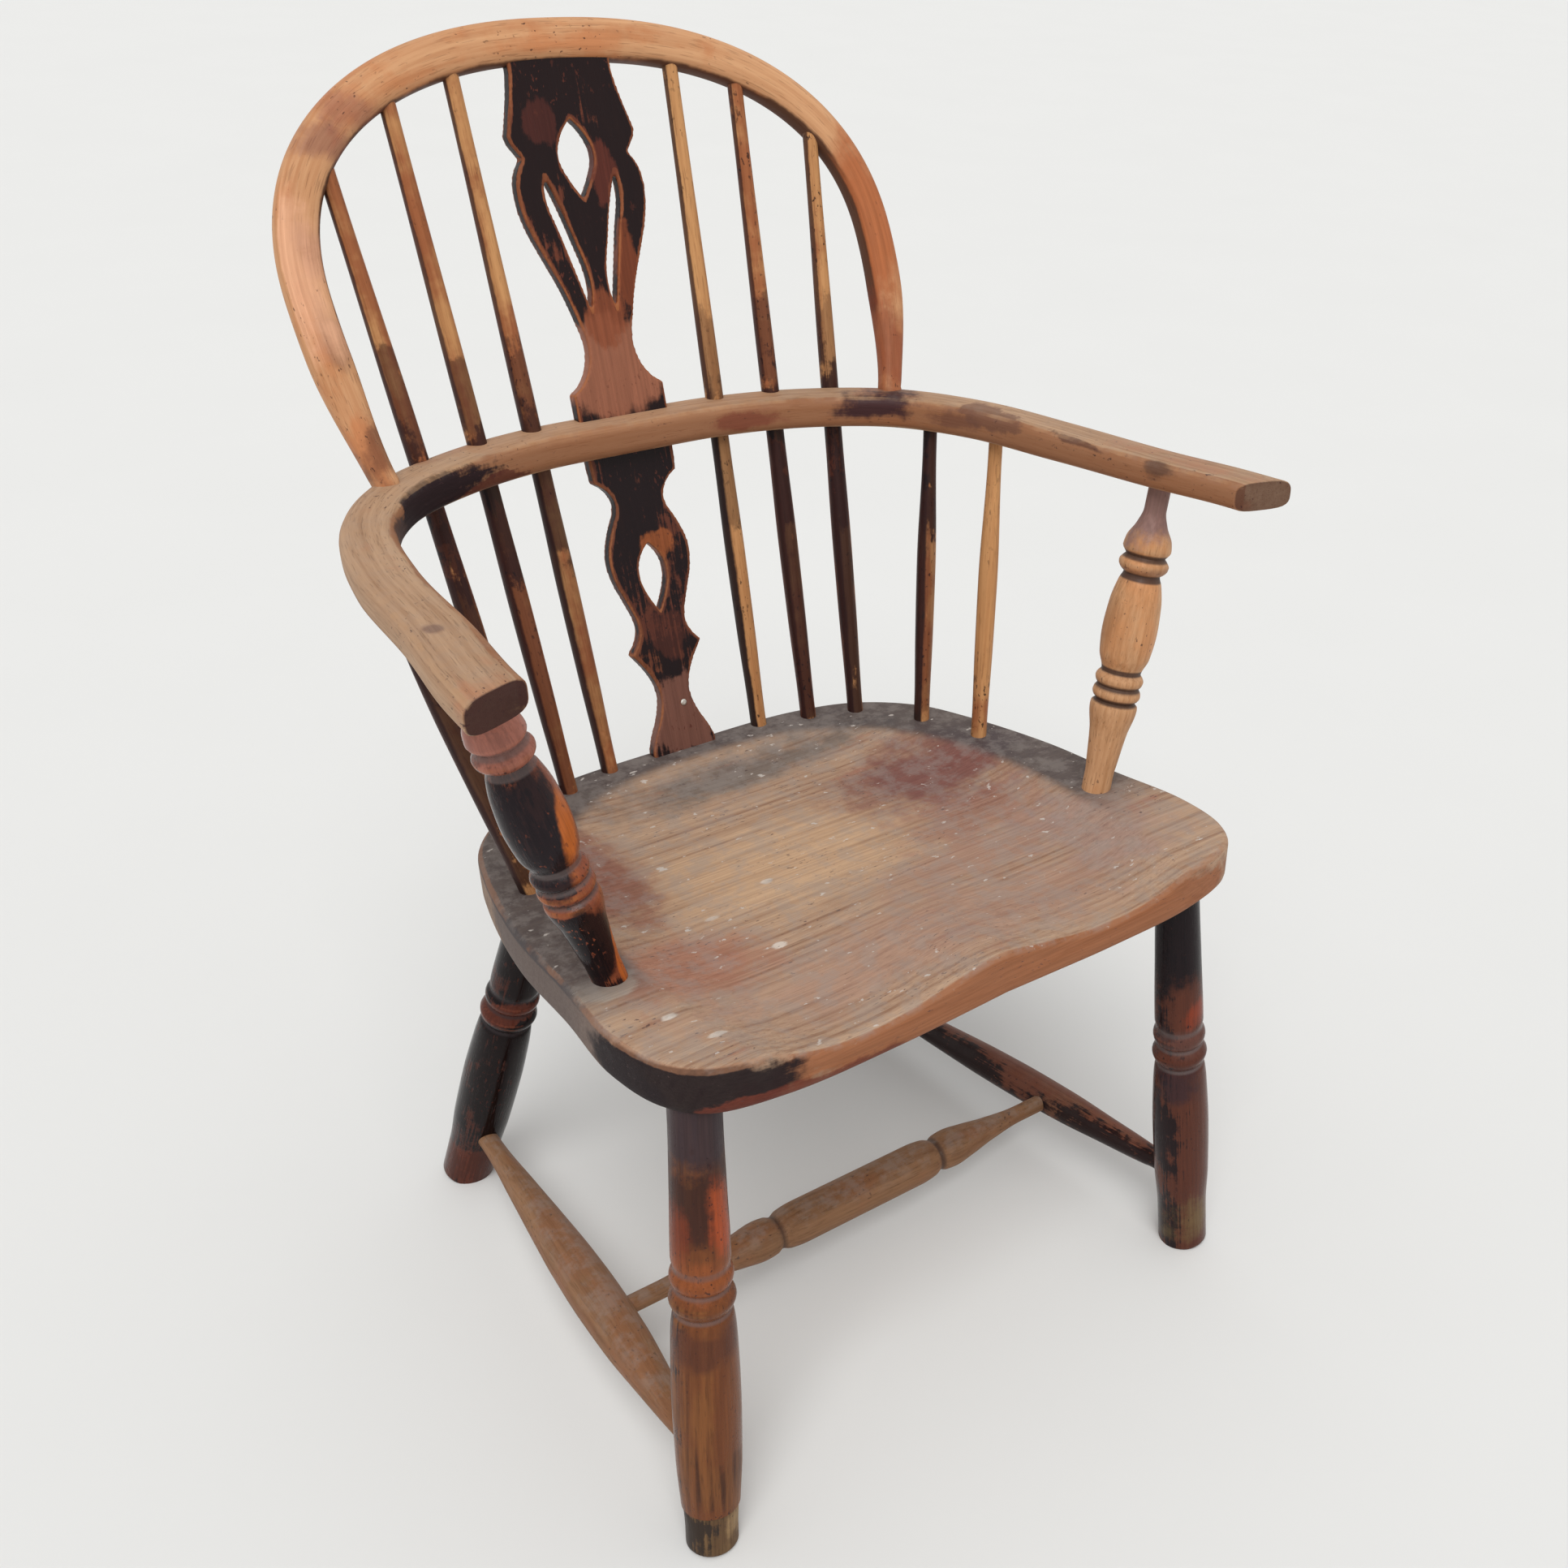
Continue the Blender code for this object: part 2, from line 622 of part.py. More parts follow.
def leg_profile(length, rings_up):
    """Leg from the seat down: taper, two rings and a long bulb down to the foot."""
    shares = [
        (0.030, LEG_TOP_RADIUS),
        (0.180, 0.0186),
        (0.350 - rings_up, LEG_NECK_RADIUS),
        (0.372 - rings_up, 0.0190),
        (0.380 - rings_up, 0.0208),
        (0.390 - rings_up, LEG_RING_RADIUS - 0.0012),
        (0.402 - rings_up, 0.0208),
        (0.412 - rings_up, LEG_GROOVE_RADIUS),
        (0.424 - rings_up, 0.0208),
        (0.438 - rings_up, LEG_RING_RADIUS),
        (0.454 - rings_up, 0.0212),
        (0.464 - rings_up, LEG_GROOVE_RADIUS + 0.0008),
        (0.476 - rings_up, 0.0208),
        (0.540 - rings_up, 0.0228),
        (0.650, LEG_BULB_RADIUS),
        (0.780, 0.0234),
        (0.890, 0.0214),
    ]
    top = [(-LEG_TENON_DEPTH, LEG_TENON_RADIUS), (-LEG_HOUSING_DEPTH, LEG_TENON_RADIUS)]
    top.append((-LEG_HOUSING_DEPTH, LEG_TOP_RADIUS))
    return top + [(length * share, radius) for share, radius in shares]


def side_stretcher_profile(length, belly_radius):
    """Side stretcher from the back leg to the front leg, thickest past its middle."""
    profile = [(-SIDE_TENON, SIDE_END_RADIUS), (MOUTH, SIDE_END_RADIUS)]
    swell = belly_radius - SIDE_END_RADIUS
    for share, part in ((0.20, 0.35), (0.33, 0.66), (0.46, 0.92), (0.57, 1.0), (0.70, 0.90), (0.84, 0.52)):
        profile.append((length * share, SIDE_END_RADIUS + swell * part))
    profile.append((length - MOUTH, SIDE_END_RADIUS + 0.0008))
    profile.append((length - MOUTH * 0.5, SIDE_END_RADIUS))
    return profile + [(length + SIDE_TENON, SIDE_END_RADIUS)]


def cross_stretcher_profile(left_x, right_x):
    """Cross stretcher from the left stretcher to the right one: barrel between two bulbs."""
    first = -CROSS_GROOVE_X + CROSS_GROOVE_OFF_CENTRE - left_x
    second = CROSS_GROOVE_X + CROSS_GROOVE_OFF_CENTRE - left_x
    length = right_x - left_x
    half = [
        (0.0, CROSS_GROOVE_RADIUS),
        (0.005, CROSS_BULB_RADIUS - 0.0010),
        (0.016, CROSS_BULB_RADIUS),
        (0.034, 0.0150),
        (0.060, 0.0108),
    ]
    profile = [(-CROSS_TENON, CROSS_END_RADIUS), (MOUTH * 2, CROSS_END_RADIUS)]
    profile += [(first - reach, radius) for reach, radius in reversed(half)]
    profile += [(first + 0.008, CROSS_BARREL_RADIUS - 0.0015), (first + 0.024, CROSS_BARREL_RADIUS)]
    profile += [(second - 0.024, CROSS_BARREL_RADIUS), (second - 0.008, CROSS_BARREL_RADIUS - 0.0015)]
    profile += [(second + reach, radius) for reach, radius in half]
    return profile + [(length - MOUTH * 2, CROSS_END_RADIUS), (length + CROSS_TENON, CROSS_END_RADIUS)]


# Splats

def splat_board(outer, holes):
    """Flat board from an outline and its piercings, each a list of (x, height, is_corner)."""
    sheet = bpy.data.curves.new("splat_outline", "CURVE")
    sheet.dimensions = "2D"
    sheet.fill_mode = "BOTH"
    sheet.extrude = SPLAT_THICKNESS / 2
    for outline in (outer, *holes):
        spline = sheet.splines.new("BEZIER")
        spline.use_cyclic_u = True
        spline.resolution_u = 3
        spline.bezier_points.add(len(outline) - 1)
        for knot, (x, height, is_corner) in zip(spline.bezier_points, outline):
            knot.co = (x, height, 0)
            handle = "VECTOR" if is_corner else "AUTO"
            knot.handle_left_type = handle
            knot.handle_right_type = handle
    holder = bpy.data.objects.new("splat_outline", sheet)
    bpy.context.scene.collection.objects.link(holder)
    bpy.context.view_layer.update()
    mesh = bpy.data.meshes.new_from_object(holder)
    builder = bmesh.new()
    builder.from_mesh(mesh)
    bmesh.ops.remove_doubles(builder, verts=builder.verts[:], dist=0.00001)
    bpy.data.objects.remove(holder, do_unlink=True)
    bpy.data.curves.remove(sheet)
    bpy.data.meshes.remove(mesh)
    return builder


def both_sides(half):
    """Closed outline from its right half, given bottom to top."""
    left = [(-x, height, is_corner) for x, height, is_corner in reversed(half) if x > 0]
    return half + left


def mirrored(outline):
    """The same piercing on the other side."""
    return [(-x, height, is_corner) for x, height, is_corner in reversed(outline)]


def upper_splat_body(length):
    """Upper splat: shield with a drop, two leaf-shaped slots, waist and spread foot."""
    half = [
        (UPPER_FOOT, -SPLAT_ARM_DEPTH, True),
        (UPPER_FOOT, 0.018, True),
        (0.0290, 0.0235, False),
        (0.0205, 0.0365, False),
        (UPPER_WAIST, 0.0520, False),
        (0.0220, 0.0670, False),
        (0.0288, 0.0890, False),
        (0.0376, 0.1100, False),
        (0.0466, 0.1330, False),
        (UPPER_LOBE, 0.1500, False),
        (0.0476, 0.1650, False),
        (0.0408, 0.1755, True),
        (0.0476, 0.1850, True),
        (UPPER_SHOULDER, 0.1900, True),
        (UPPER_TOP + 0.003, length - 0.020, False),
        (UPPER_TOP, length - 0.006, True),
        (UPPER_TOP, length + SPLAT_HOOP_DEPTH, True),
    ]
    drop = [
        (0.0, 0.1470, True),
        (0.0085, 0.1600, False),
        (0.0138, 0.1740, False),
        (0.0095, 0.1880, False),
        (0.0, 0.1990, True),
    ]
    slot = [
        (0.0100, 0.0720, True),
        (0.0165, 0.0980, False),
        (0.0235, 0.1260, False),
        (0.0295, 0.1500, False),
        (0.0275, 0.1640, True),
        (0.0212, 0.1480, False),
        (0.0135, 0.1220, False),
        (0.0068, 0.0920, False),
    ]
    return splat_board(both_sides(half), [both_sides(drop), slot, mirrored(slot)])


def lower_splat_body(length):
    """Lower splat: notched head, pierced lobe, pointed knees and spread foot."""
    half = [
        (LOWER_FOOT, -SPLAT_SEAT_DEPTH, True),
        (LOWER_FOOT, 0.003, True),
        (0.0248, 0.0130, False),
        (0.0165, 0.0300, False),
        (LOWER_ANKLE, 0.0470, False),
        (0.0180, 0.0640, False),
        (LOWER_POINT, 0.0830, True),
        (0.0225, 0.0940, False),
        (LOWER_WAIST, 0.1040, False),
        (0.0258, 0.1220, False),
        (0.0332, 0.1430, False),
        (LOWER_LOBE, 0.1610, False),
        (0.0280, 0.1790, False),
        (LOWER_NECK, 0.1960, False),
        (0.0250, 0.2080, False),
        (LOWER_TOP - 0.001, 0.2160, True),
        (LOWER_TOP, length + SPLAT_ARM_DEPTH, True),
    ]
    hole = [
        (0.0, 0.1120, True),
        (0.0088, 0.1290, False),
        (0.0118, 0.1430, False),
        (0.0085, 0.1560, False),
        (0.0, 0.1660, True),
    ]
    return splat_board(both_sides(half), [both_sides(hole)])


def slab(half_width, half_depth, low, high):
    """Box along Z, for a mortise."""
    corners = [(1, 1), (-1, 1), (-1, -1), (1, -1)]
    return skin_rings([[(x * half_width, y * half_depth, z) for x, y in corners] for z in (low, high)])


def build_chair():
    """Make every piece, cut its joints and centre the chair on the origin."""
    clear_scene()
    root = frame_empty("chair")
    floor_frame = frame_empty("floor_frame", root)
    raised = frame_empty("raised_frame", root, (0, RAISED_FRAME_Y, SEAT_HEIGHT), LEAN_BACK)
    bpy.context.view_layer.update()
    to_floor = floor_frame.matrix_world.inverted() @ raised.matrix_world
    to_raised = to_floor.inverted()

    seat = add_piece("seat", seat_body(), raised, WORN_TAN)
    arm_bow = add_piece("arm_bow", arm_body(), raised, WORN_HONEY)
    hoop = add_piece("hoop_back", hoop_body(), raised, WORN_HONEY)
    seat_cuts, arm_cuts, hoop_cuts = [], [], []
    grown = CLEARANCE

    hoop_lean = sin(HOOP_RAKE) / cos(HOOP_RAKE)
    for side in (-1, 1):
        mouth = Vector((side * HOOP_FOOT_X, HOOP_FOOT_Y + MOUTH * hoop_lean, ARM_TOP + MOUTH))
        bottom_z = -HOOP_TENON_LENGTH - grown
        bottom = Vector((side * HOOP_FOOT_X, HOOP_FOOT_Y + bottom_z * hoop_lean, ARM_TOP + bottom_z))
        rings = []
        for spot in (bottom, mouth):
            ring = [2 * pi * (i + 0.5) / 12 for i in range(12)]
            radius = HOOP_TENON_RADIUS + grown
            rings.append([spot + Vector((radius * cos(a), radius * sin(a), 0)) for a in ring])
        arm_cuts.append((skin_rings(rings), Matrix.Identity(4)))

    for side, word in ((-1, "left"), (1, "right")):
        sticks = zip(LONG_STICK_SEAT, LONG_STICK_HOOP_X)
        for number, ((seat_x, seat_y), hoop_x) in enumerate(sticks, 1):
            foot, head = Vector((side * seat_x, seat_y, 0)), hoop_entry(side, hoop_x * back_share(side))
            placed = along(foot, head)
            length = (head - foot).length
            arm_at = ARM_TOP / (head - foot).normalized().z
            ends = (STICK_SEAT_DEPTH, STICK_HOOP_RADIUS, STICK_HOOP_DEPTH)
            profile = stick_profile(length, arm_at, ends)
            name = f"long_stick_{word}_{number}"
            add_piece(name, turned(profile, STICK_SIDES), raised, RED_BROWN, matrix=placed)
            seat_cuts.append((peg(STICK_SEAT_RADIUS + grown, -STICK_SEAT_DEPTH - grown, MOUTH), placed))
            passage = (arm_at - ARM_BACK_THICKNESS - MOUTH, arm_at + MOUTH)
            arm_cuts.append((peg(STICK_ARM_RADIUS + grown, *passage), placed))
            socket = (length - MOUTH, length + STICK_HOOP_DEPTH + grown)
            hoop_cuts.append((peg(STICK_HOOP_RADIUS + grown, *socket), placed))

        shorts = zip(SHORT_STICK_SEAT, SHORT_STICK_ARM_Y)
        for number, ((seat_x, seat_y), arm_y) in enumerate(shorts, 1):
            foot = Vector((side * seat_x, seat_y, 0))
            arm_x = arm_reach(side, arm_y) - SHORT_STICK_INSET
            head = Vector((side * arm_x, arm_y, ARM_TOP - ARM_BACK_THICKNESS))
            placed = along(foot, head)
            length = (head - foot).length
            ends = (STICK_SEAT_DEPTH, STICK_HOOP_RADIUS, STICK_ARM_DEPTH)
            profile = stick_profile(length, length, ends)
            name = f"short_stick_{word}_{number}"
            add_piece(name, turned(profile, STICK_SIDES), raised, RED_BROWN, matrix=placed)
            seat_cuts.append((peg(STICK_SEAT_RADIUS + grown, -STICK_SEAT_DEPTH - grown, MOUTH), placed))
            socket = (length - MOUTH, length + STICK_ARM_DEPTH + grown)
            arm_cuts.append((peg(STICK_HOOP_RADIUS + grown, *socket), placed))

        spread = ARM_LEFT_SPREAD if side < 0 else 0.0
        seat_inset, head_inset = (POST_LEFT_SEAT_INSET, POST_LEFT_HEAD_INSET) if side < 0 else (0, 0)
        foot = Vector((side * (POST_SEAT_X - seat_inset), POST_SEAT_Y, 0))
        under_arm = ARM_TOP - arm_thickness(0.70)
        head = Vector((side * (ARM_POST_X + spread - head_inset), ARM_POST_Y, under_arm))
        placed = along(foot, head)
        length = (head - foot).length
        post = turned(post_profile(length), TURNED_SIDES)
        add_piece(f"arm_post_{word}", post, raised, RED_BROWN, matrix=placed)
        seat_cuts.append((peg(POST_FOOT_RADIUS + grown, -POST_SEAT_DEPTH - grown, MOUTH, 16), placed))
        socket = (length - MOUTH, length + POST_ARM_DEPTH + grown)
        arm_cuts.append((peg(POST_NECK_RADIUS + grown, *socket, 16), placed))

    splat_foot = Vector((SPLAT_OFF_CENTRE, SPLAT_SEAT_Y, 0))
    splat_arm = Vector((SPLAT_OFF_CENTRE, SPLAT_ARM_Y, ARM_TOP))
    rake = atan2(splat_arm.y - splat_foot.y, ARM_TOP)
    stand = Matrix.Rotation(pi / 2 - rake, 4, "X")
    lower_place = Matrix.Translation(splat_foot) @ stand
    upper_place = Matrix.Translation(splat_arm) @ stand
    under_bow = splat_arm - (splat_arm - splat_foot).normalized() * ARM_BACK_THICKNESS / cos(rake)
    lower_length = (under_bow - splat_foot).length
    upper_length = splat_reach(splat_arm, rake)
    add_piece("upper_splat", upper_splat_body(upper_length), raised, DARK_STAIN, matrix=upper_place)
    lower = add_piece("lower_splat", lower_splat_body(lower_length), raised, DARK_STAIN, matrix=lower_place)
    upright = Matrix.Rotation(-rake, 4, "X")
    half_board = SPLAT_THICKNESS / 2 + grown
    mortise = slab(LOWER_FOOT + grown, half_board, -SPLAT_SEAT_DEPTH - grown, MOUTH)
    seat_cuts.append((mortise, Matrix.Translation(splat_foot) @ upright))
    slot_half = max(UPPER_FOOT, LOWER_TOP) + grown
    through = slab(slot_half, half_board, -ARM_BACK_THICKNESS - MOUTH, MOUTH)
    arm_cuts.append((through, Matrix.Translation(splat_arm) @ upright))
    housing_end = upper_length + SPLAT_HOOP_DEPTH + grown
    housing = slab(UPPER_TOP + grown, half_board, upper_length - MOUTH, housing_end)
    hoop_cuts.append((housing, Matrix.Translation(splat_arm) @ upright))

    nail_profile = [
        (-NAIL_SHANK, NAIL_SHANK_RADIUS),
        (grown, NAIL_SHANK_RADIUS),
        (grown, NAIL_RADIUS),
        (NAIL_HEAD * 0.6, NAIL_RADIUS),
        (NAIL_HEAD, NAIL_RADIUS * 0.6),
    ]
    nail_place = lower_place @ Matrix.Translation((NAIL_X, NAIL_RISE, SPLAT_THICKNESS / 2))
    add_piece("splat_nail", turned(nail_profile, 12), raised, BRIGHT_STEEL, 0.35, 1.0, nail_place)
    nail_hole = peg(NAIL_SHANK_RADIUS + grown, -NAIL_SHANK - grown, NAIL_HEAD)
    cut(lower, add_cutter("nail_hole", [(nail_hole, nail_place)], raised))

    legs = build_legs(floor_frame, to_floor)
    for placed in legs.values():
        seat_cuts.append((leg_socket(), to_raised @ placed))
    build_stretchers(floor_frame, legs)

    cut(seat, add_cutter("seat_sockets", seat_cuts, raised))
    cut(arm_bow, add_cutter("arm_bow_sockets", arm_cuts, raised))
    cut(hoop, add_cutter("hoop_sockets", hoop_cuts, raised))
    centre_on_origin(root)


def hoop_entry(side, x):
    """Point on the hoop's inner edge where a stick of that distance from the middle reaches it."""
    line = [(abs(px), rise) for px, rise in reversed(hoop_half(side))]
    inner = []
    for before, (px, rise), after in zip(line, line[1:], line[2:]):
        dx, dr = after[0] - before[0], after[1] - before[1]
        length = hypot(dx, dr)
        inner.append((px + dr / length * HOOP_FACE / 2, rise - dx / length * HOOP_FACE / 2))
    for (x0, r0), (x1, r1) in zip(inner, inner[1:]):
        if x0 <= x <= x1:
            return hoop_point(side * x, r0 + (r1 - r0) * (x - x0) / (x1 - x0))
    return hoop_point(side * inner[0][0], inner[0][1])


def splat_reach(splat_arm, rake):
    """Length of the upper splat from the arm bow's top to the hoop's inner edge."""
    inner_rise = HOOP_RISE - HOOP_FACE / 2
    inner = hoop_point(0, inner_rise)
    return (inner.z - splat_arm.z) / cos(rake)


def leg_socket():
    """Stepped socket: a shallow housing for the leg and a deeper one for its tenon."""
    grown = CLEARANCE
    profile = [
        (-LEG_TENON_DEPTH - grown, LEG_TENON_RADIUS + grown),
        (-LEG_HOUSING_DEPTH - grown, LEG_TENON_RADIUS + grown),
        (-LEG_HOUSING_DEPTH - grown, LEG_TOP_RADIUS + grown),
        (MOUTH, LEG_TOP_RADIUS + grown),
    ]
    return turned(profile, TURNED_SIDES)


def cut_at_floor(builder, placed):
    """Cut a leg level with the floor and close it there."""
    builder.transform(placed)
    geometry = builder.verts[:] + builder.edges[:] + builder.faces[:]
    result = bmesh.ops.bisect_plane(
        builder, geom=geometry, plane_co=(0, 0, 0), plane_no=(0, 0, -1), clear_outer=True, dist=1e-7
    )
    rim = [item for item in result["geom_cut"] if isinstance(item, bmesh.types.BMEdge)]
    bmesh.ops.contextual_create(builder, geom=rim)
    builder.transform(placed.inverted())


def build_legs(floor_frame, to_floor):
    """Four legs from the seat's underside to the floor, with the spliced tip of one foot."""
    feet = {
        "front_left": FRONT_LEFT_FOOT,
        "front_right": FRONT_RIGHT_FOOT,
        "back_left": BACK_LEFT_FOOT,
        "back_right": BACK_RIGHT_FOOT,
    }
    legs = {}
    for word, (foot_x, foot_y) in feet.items():
        side = 1 if foot_x > 0 else -1
        at_front = word.startswith("front")
        seat_x = FRONT_LEG_SEAT_X if at_front else BACK_LEG_SEAT_X
        seat_y = FRONT_LEG_SEAT_Y if at_front else BACK_LEG_SEAT_Y
        top = to_floor @ Vector((side * seat_x, seat_y, -SEAT_THICKNESS))
        foot = Vector((foot_x, foot_y, 0))
        placed = along(top, foot)
        length = (foot - top).length
        profile = leg_profile(length, FRONT_LEFT_RINGS_UP if word == "front_left" else 0.0)
        colour = RED_BROWN if at_front else DARK_STAIN
        if word == "front_left":
            end = length - FOOT_TIP_LENGTH
            profile = [pair for pair in profile if pair[0] < end - 0.004] + [(end, 0.0212)]
            leg = add_piece(f"leg_{word}", turned(profile, TURNED_SIDES), floor_frame, colour, matrix=placed)
            add_foot_tip(leg, placed, end, length, floor_frame)
        else:
            profile += [(length, LEG_FOOT_RADIUS), (length * 1.03, LEG_FOOT_RADIUS)]
            builder = turned(profile, TURNED_SIDES)
            cut_at_floor(builder, placed)
            add_piece(f"leg_{word}", builder, floor_frame, colour, matrix=placed)
        legs[word] = placed
    return legs


def add_foot_tip(leg, placed, end, length, floor_frame):
    """Repair piece under the front left leg, held by a spigot."""
    profile = [
        (end - FOOT_TIP_SPIGOT, FOOT_TIP_SPIGOT_RADIUS),
        (end + CLEARANCE, FOOT_TIP_SPIGOT_RADIUS),
        (end + CLEARANCE, FOOT_TIP_RADIUS + 0.0008),
        (end + FOOT_TIP_LENGTH * 0.6, FOOT_TIP_RADIUS),
        (length, FOOT_TIP_RADIUS - 0.0005),
        (length * 1.03, FOOT_TIP_RADIUS - 0.0010),
    ]
    builder = turned(profile, TURNED_SIDES)
    cut_at_floor(builder, placed)
    add_piece("foot_tip_front_left", builder, floor_frame, GREY_TAN, matrix=placed)
    socket = peg(FOOT_TIP_SPIGOT_RADIUS + CLEARANCE, end - FOOT_TIP_SPIGOT - CLEARANCE, end + MOUTH, 16)
    cut(leg, add_cutter("foot_tip_socket", [(socket, placed)], floor_frame))


def at_height(placed, height):
    """Point on a leg's axis at a height above the floor."""
    top = placed.translation
    direction = placed.to_3x3() @ Vector((0, 0, 1))
    return top + direction * ((height - top.z) / direction.z)


def leg_radius_at(placed, point):
    """Radius of a leg's bulb where a stretcher meets it."""
    length = -placed.translation.z / (placed.to_3x3() @ Vector((0, 0, 1))).z
    distance = (point - placed.translation).length
    profile = leg_profile(length, 0.0) + [(length, LEG_FOOT_RADIUS)]
    for (d0, r0), (d1, r1) in zip(profile, profile[1:]):
        if d0 <= distance <= d1 and d1 > d0:
            return r0 + (r1 - r0) * (distance - d0) / (d1 - d0)
    return LEG_FOOT_RADIUS


def build_stretchers(floor_frame, legs):
    """Two side stretchers between the legs and the cross stretcher between those."""
    middles = {}
    side_objects = {}
    for word in ("left", "right"):
        back, front = legs["back_" + word], legs["front_" + word]
        back_axis, front_axis = at_height(back, SIDE_BACK_HEIGHT[word]), at_height(front, SIDE_FRONT_HEIGHT)
        run = (front_axis - back_axis).normalized()
        start = back_axis + run * leg_radius_at(back, back_axis)
        end = front_axis - run * leg_radius_at(front, front_axis)
        placed = along(start, end)
        length = (end - start).length
        body = turned(side_stretcher_profile(length, SIDE_BELLY_RADIUS[word]), TURNED_SIDES)
        name = f"side_stretcher_{word}"
        side_objects[word] = add_piece(name, body, floor_frame, GREY_TAN, matrix=placed)
        for leg_word, leg_matrix, low, high in (
            ("back_" + word, back, -SIDE_TENON - CLEARANCE, MOUTH),
            ("front_" + word, front, length - MOUTH, length + SIDE_TENON + CLEARANCE),
        ):
            socket = peg(SIDE_END_RADIUS + CLEARANCE, low, high, TURNED_SIDES)
            leg = bpy.data.objects["leg_" + leg_word]
            cut(leg, add_cutter(f"stretcher_socket_{leg_word}", [(socket, placed)], floor_frame))
        middles[word] = start.lerp(end, CROSS_SHARE[word])
    run = (middles["right"] - middles["left"]).normalized()
    start = middles["left"] + run * SIDE_BELLY_RADIUS["left"]
    end = middles["right"] - run * SIDE_BELLY_RADIUS["right"]
    placed = along(start, end)
    body = turned(cross_stretcher_profile(start.x, end.x), TURNED_SIDES)
    add_piece("cross_stretcher", body, floor_frame, GREY_TAN, matrix=placed)
    length = (end - start).length
    for word, low, high in (
        ("left", -CROSS_TENON - CLEARANCE, MOUTH),
        ("right", length - MOUTH, length + CROSS_TENON + CLEARANCE),
    ):
        socket = peg(CROSS_END_RADIUS + CLEARANCE, low, high, TURNED_SIDES)
        cutter = add_cutter(f"cross_socket_{word}", [(socket, placed)], floor_frame)
        cut(side_objects[word], cutter)


def centre_on_origin(root):
    """Move the chair so that the middle of its box stands over the origin."""
    bpy.context.view_layer.update()
    low, high = Vector((1e9,) * 3), Vector((-1e9,) * 3)
    for piece in bpy.data.objects:
        if piece.type != "MESH" or piece.hide_render:
            continue
        for vertex in piece.data.vertices:
            spot = piece.matrix_world @ vertex.co
            low = Vector(map(min, low, spot))
            high = Vector(map(max, high, spot))
    middle = (low + high) / 2
    root.location = (-middle.x, -middle.y, 0)
    bpy.context.view_layer.update()


build_chair()
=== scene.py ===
"""Looks of a low-back Windsor elbow chair whose dark stain has worn through to bare wood."""

import logging
from dataclasses import dataclass, field
from enum import Enum
from math import cos, hypot, pi, radians, sin
from typing import Sequence

import bpy
import numpy as np
from mathutils import Matrix, Vector
from mathutils.kdtree import KDTree


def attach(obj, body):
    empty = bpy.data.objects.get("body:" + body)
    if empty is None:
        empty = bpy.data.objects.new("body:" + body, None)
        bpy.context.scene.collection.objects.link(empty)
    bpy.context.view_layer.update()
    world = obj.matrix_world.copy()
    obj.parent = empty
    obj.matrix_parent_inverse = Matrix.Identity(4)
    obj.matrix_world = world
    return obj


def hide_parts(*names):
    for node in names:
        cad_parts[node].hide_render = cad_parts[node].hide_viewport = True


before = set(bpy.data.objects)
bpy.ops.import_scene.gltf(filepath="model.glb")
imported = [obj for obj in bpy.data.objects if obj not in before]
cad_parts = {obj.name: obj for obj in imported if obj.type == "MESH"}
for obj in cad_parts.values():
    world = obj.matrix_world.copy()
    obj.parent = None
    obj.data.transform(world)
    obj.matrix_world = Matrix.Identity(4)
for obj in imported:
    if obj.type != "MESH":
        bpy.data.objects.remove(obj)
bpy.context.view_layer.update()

LOG = logging.getLogger("chair")
Colour = tuple[float, float, float]
Profile = list[tuple[float, float]]

# The chair's place and the raised frame that carries everything from the seat up
CHAIR_SHIFT = Vector((0.00584, -0.03778, 0.0))
LEAN_BACK = radians(2.58)
SEAT_HEIGHT = 0.4074
RAISED_FRAME_Y = 0.0183
RAISED = (
    Matrix.Translation(CHAIR_SHIFT + Vector((0, RAISED_FRAME_Y, SEAT_HEIGHT)))
    @ Matrix.Rotation(-LEAN_BACK, 4, "X")
)

# Photograph: width in pixels, focal length and the middle of the lens on it, and the camera's place
PHOTO_PX = 1932
FOCAL_PX = 2080.8
LENS_CENTRE_PX = (1274.0, 1171.0)
SENSOR_MM = 36.0
CAMERA_PLACE = Vector((-0.62886, -0.89395, 1.08032))
CAMERA_RIGHT = Vector((0.748452, -0.659238, 0.072286))
CAMERA_FORWARD = Vector((0.570208, 0.584024, -0.577735))

# Wood: strength of its reflections, fineness of its noises, and its relief
SHEEN = 0.15
BLOTCH_SCALE = 16.0
WIDE_SCALE = 5.5
STAIN_SCALE = 26.0
RIM_SCALE = 34.0
DUST_SCALE = 60.0
SCUFF_SCALE = 95.0
LIGHT_FIBRE = 1.3
RELIEF_STRENGTH = 0.5
RELIEF_DEPTH = 0.0005

# Turned solids: gaps along the axis that part two rings, first before and then after the axis is fitted,
# how near two radii are to be one, and the run between two radii that stand at one place
ROUGH_GAP = 0.0009
FINE_GAP = 0.00015
SAME_RADIUS = 0.00008
OTHER_RADIUS = 0.0003
STEP_RUN = 0.0003
FOOT_BEVEL = 0.0012
FOOT_BEVEL_RISE = 0.002
FOOT_CLEAR = 0.006
CURVE_STEPS = 24

# Splats: angle from which an edge is sharp, and spacing of the points along it
SHARP_ANGLE = radians(50)
RIM_SPACING = 0.001


def rgb(red: int, green: int, blue: int) -> Colour:
    """Turn a screen colour into a linear one.

    Args:
        red: Red, 0 to 255.
        green: Green, 0 to 255.
        blue: Blue, 0 to 255.

    Returns:
        The linear colour.
    """
    channels = []
    for value in (red, green, blue):
        share = value / 255
        channels.append(share / 12.92 if share <= 0.04045 else ((share + 0.055) / 1.055) ** 2.4)
    return tuple(channels)


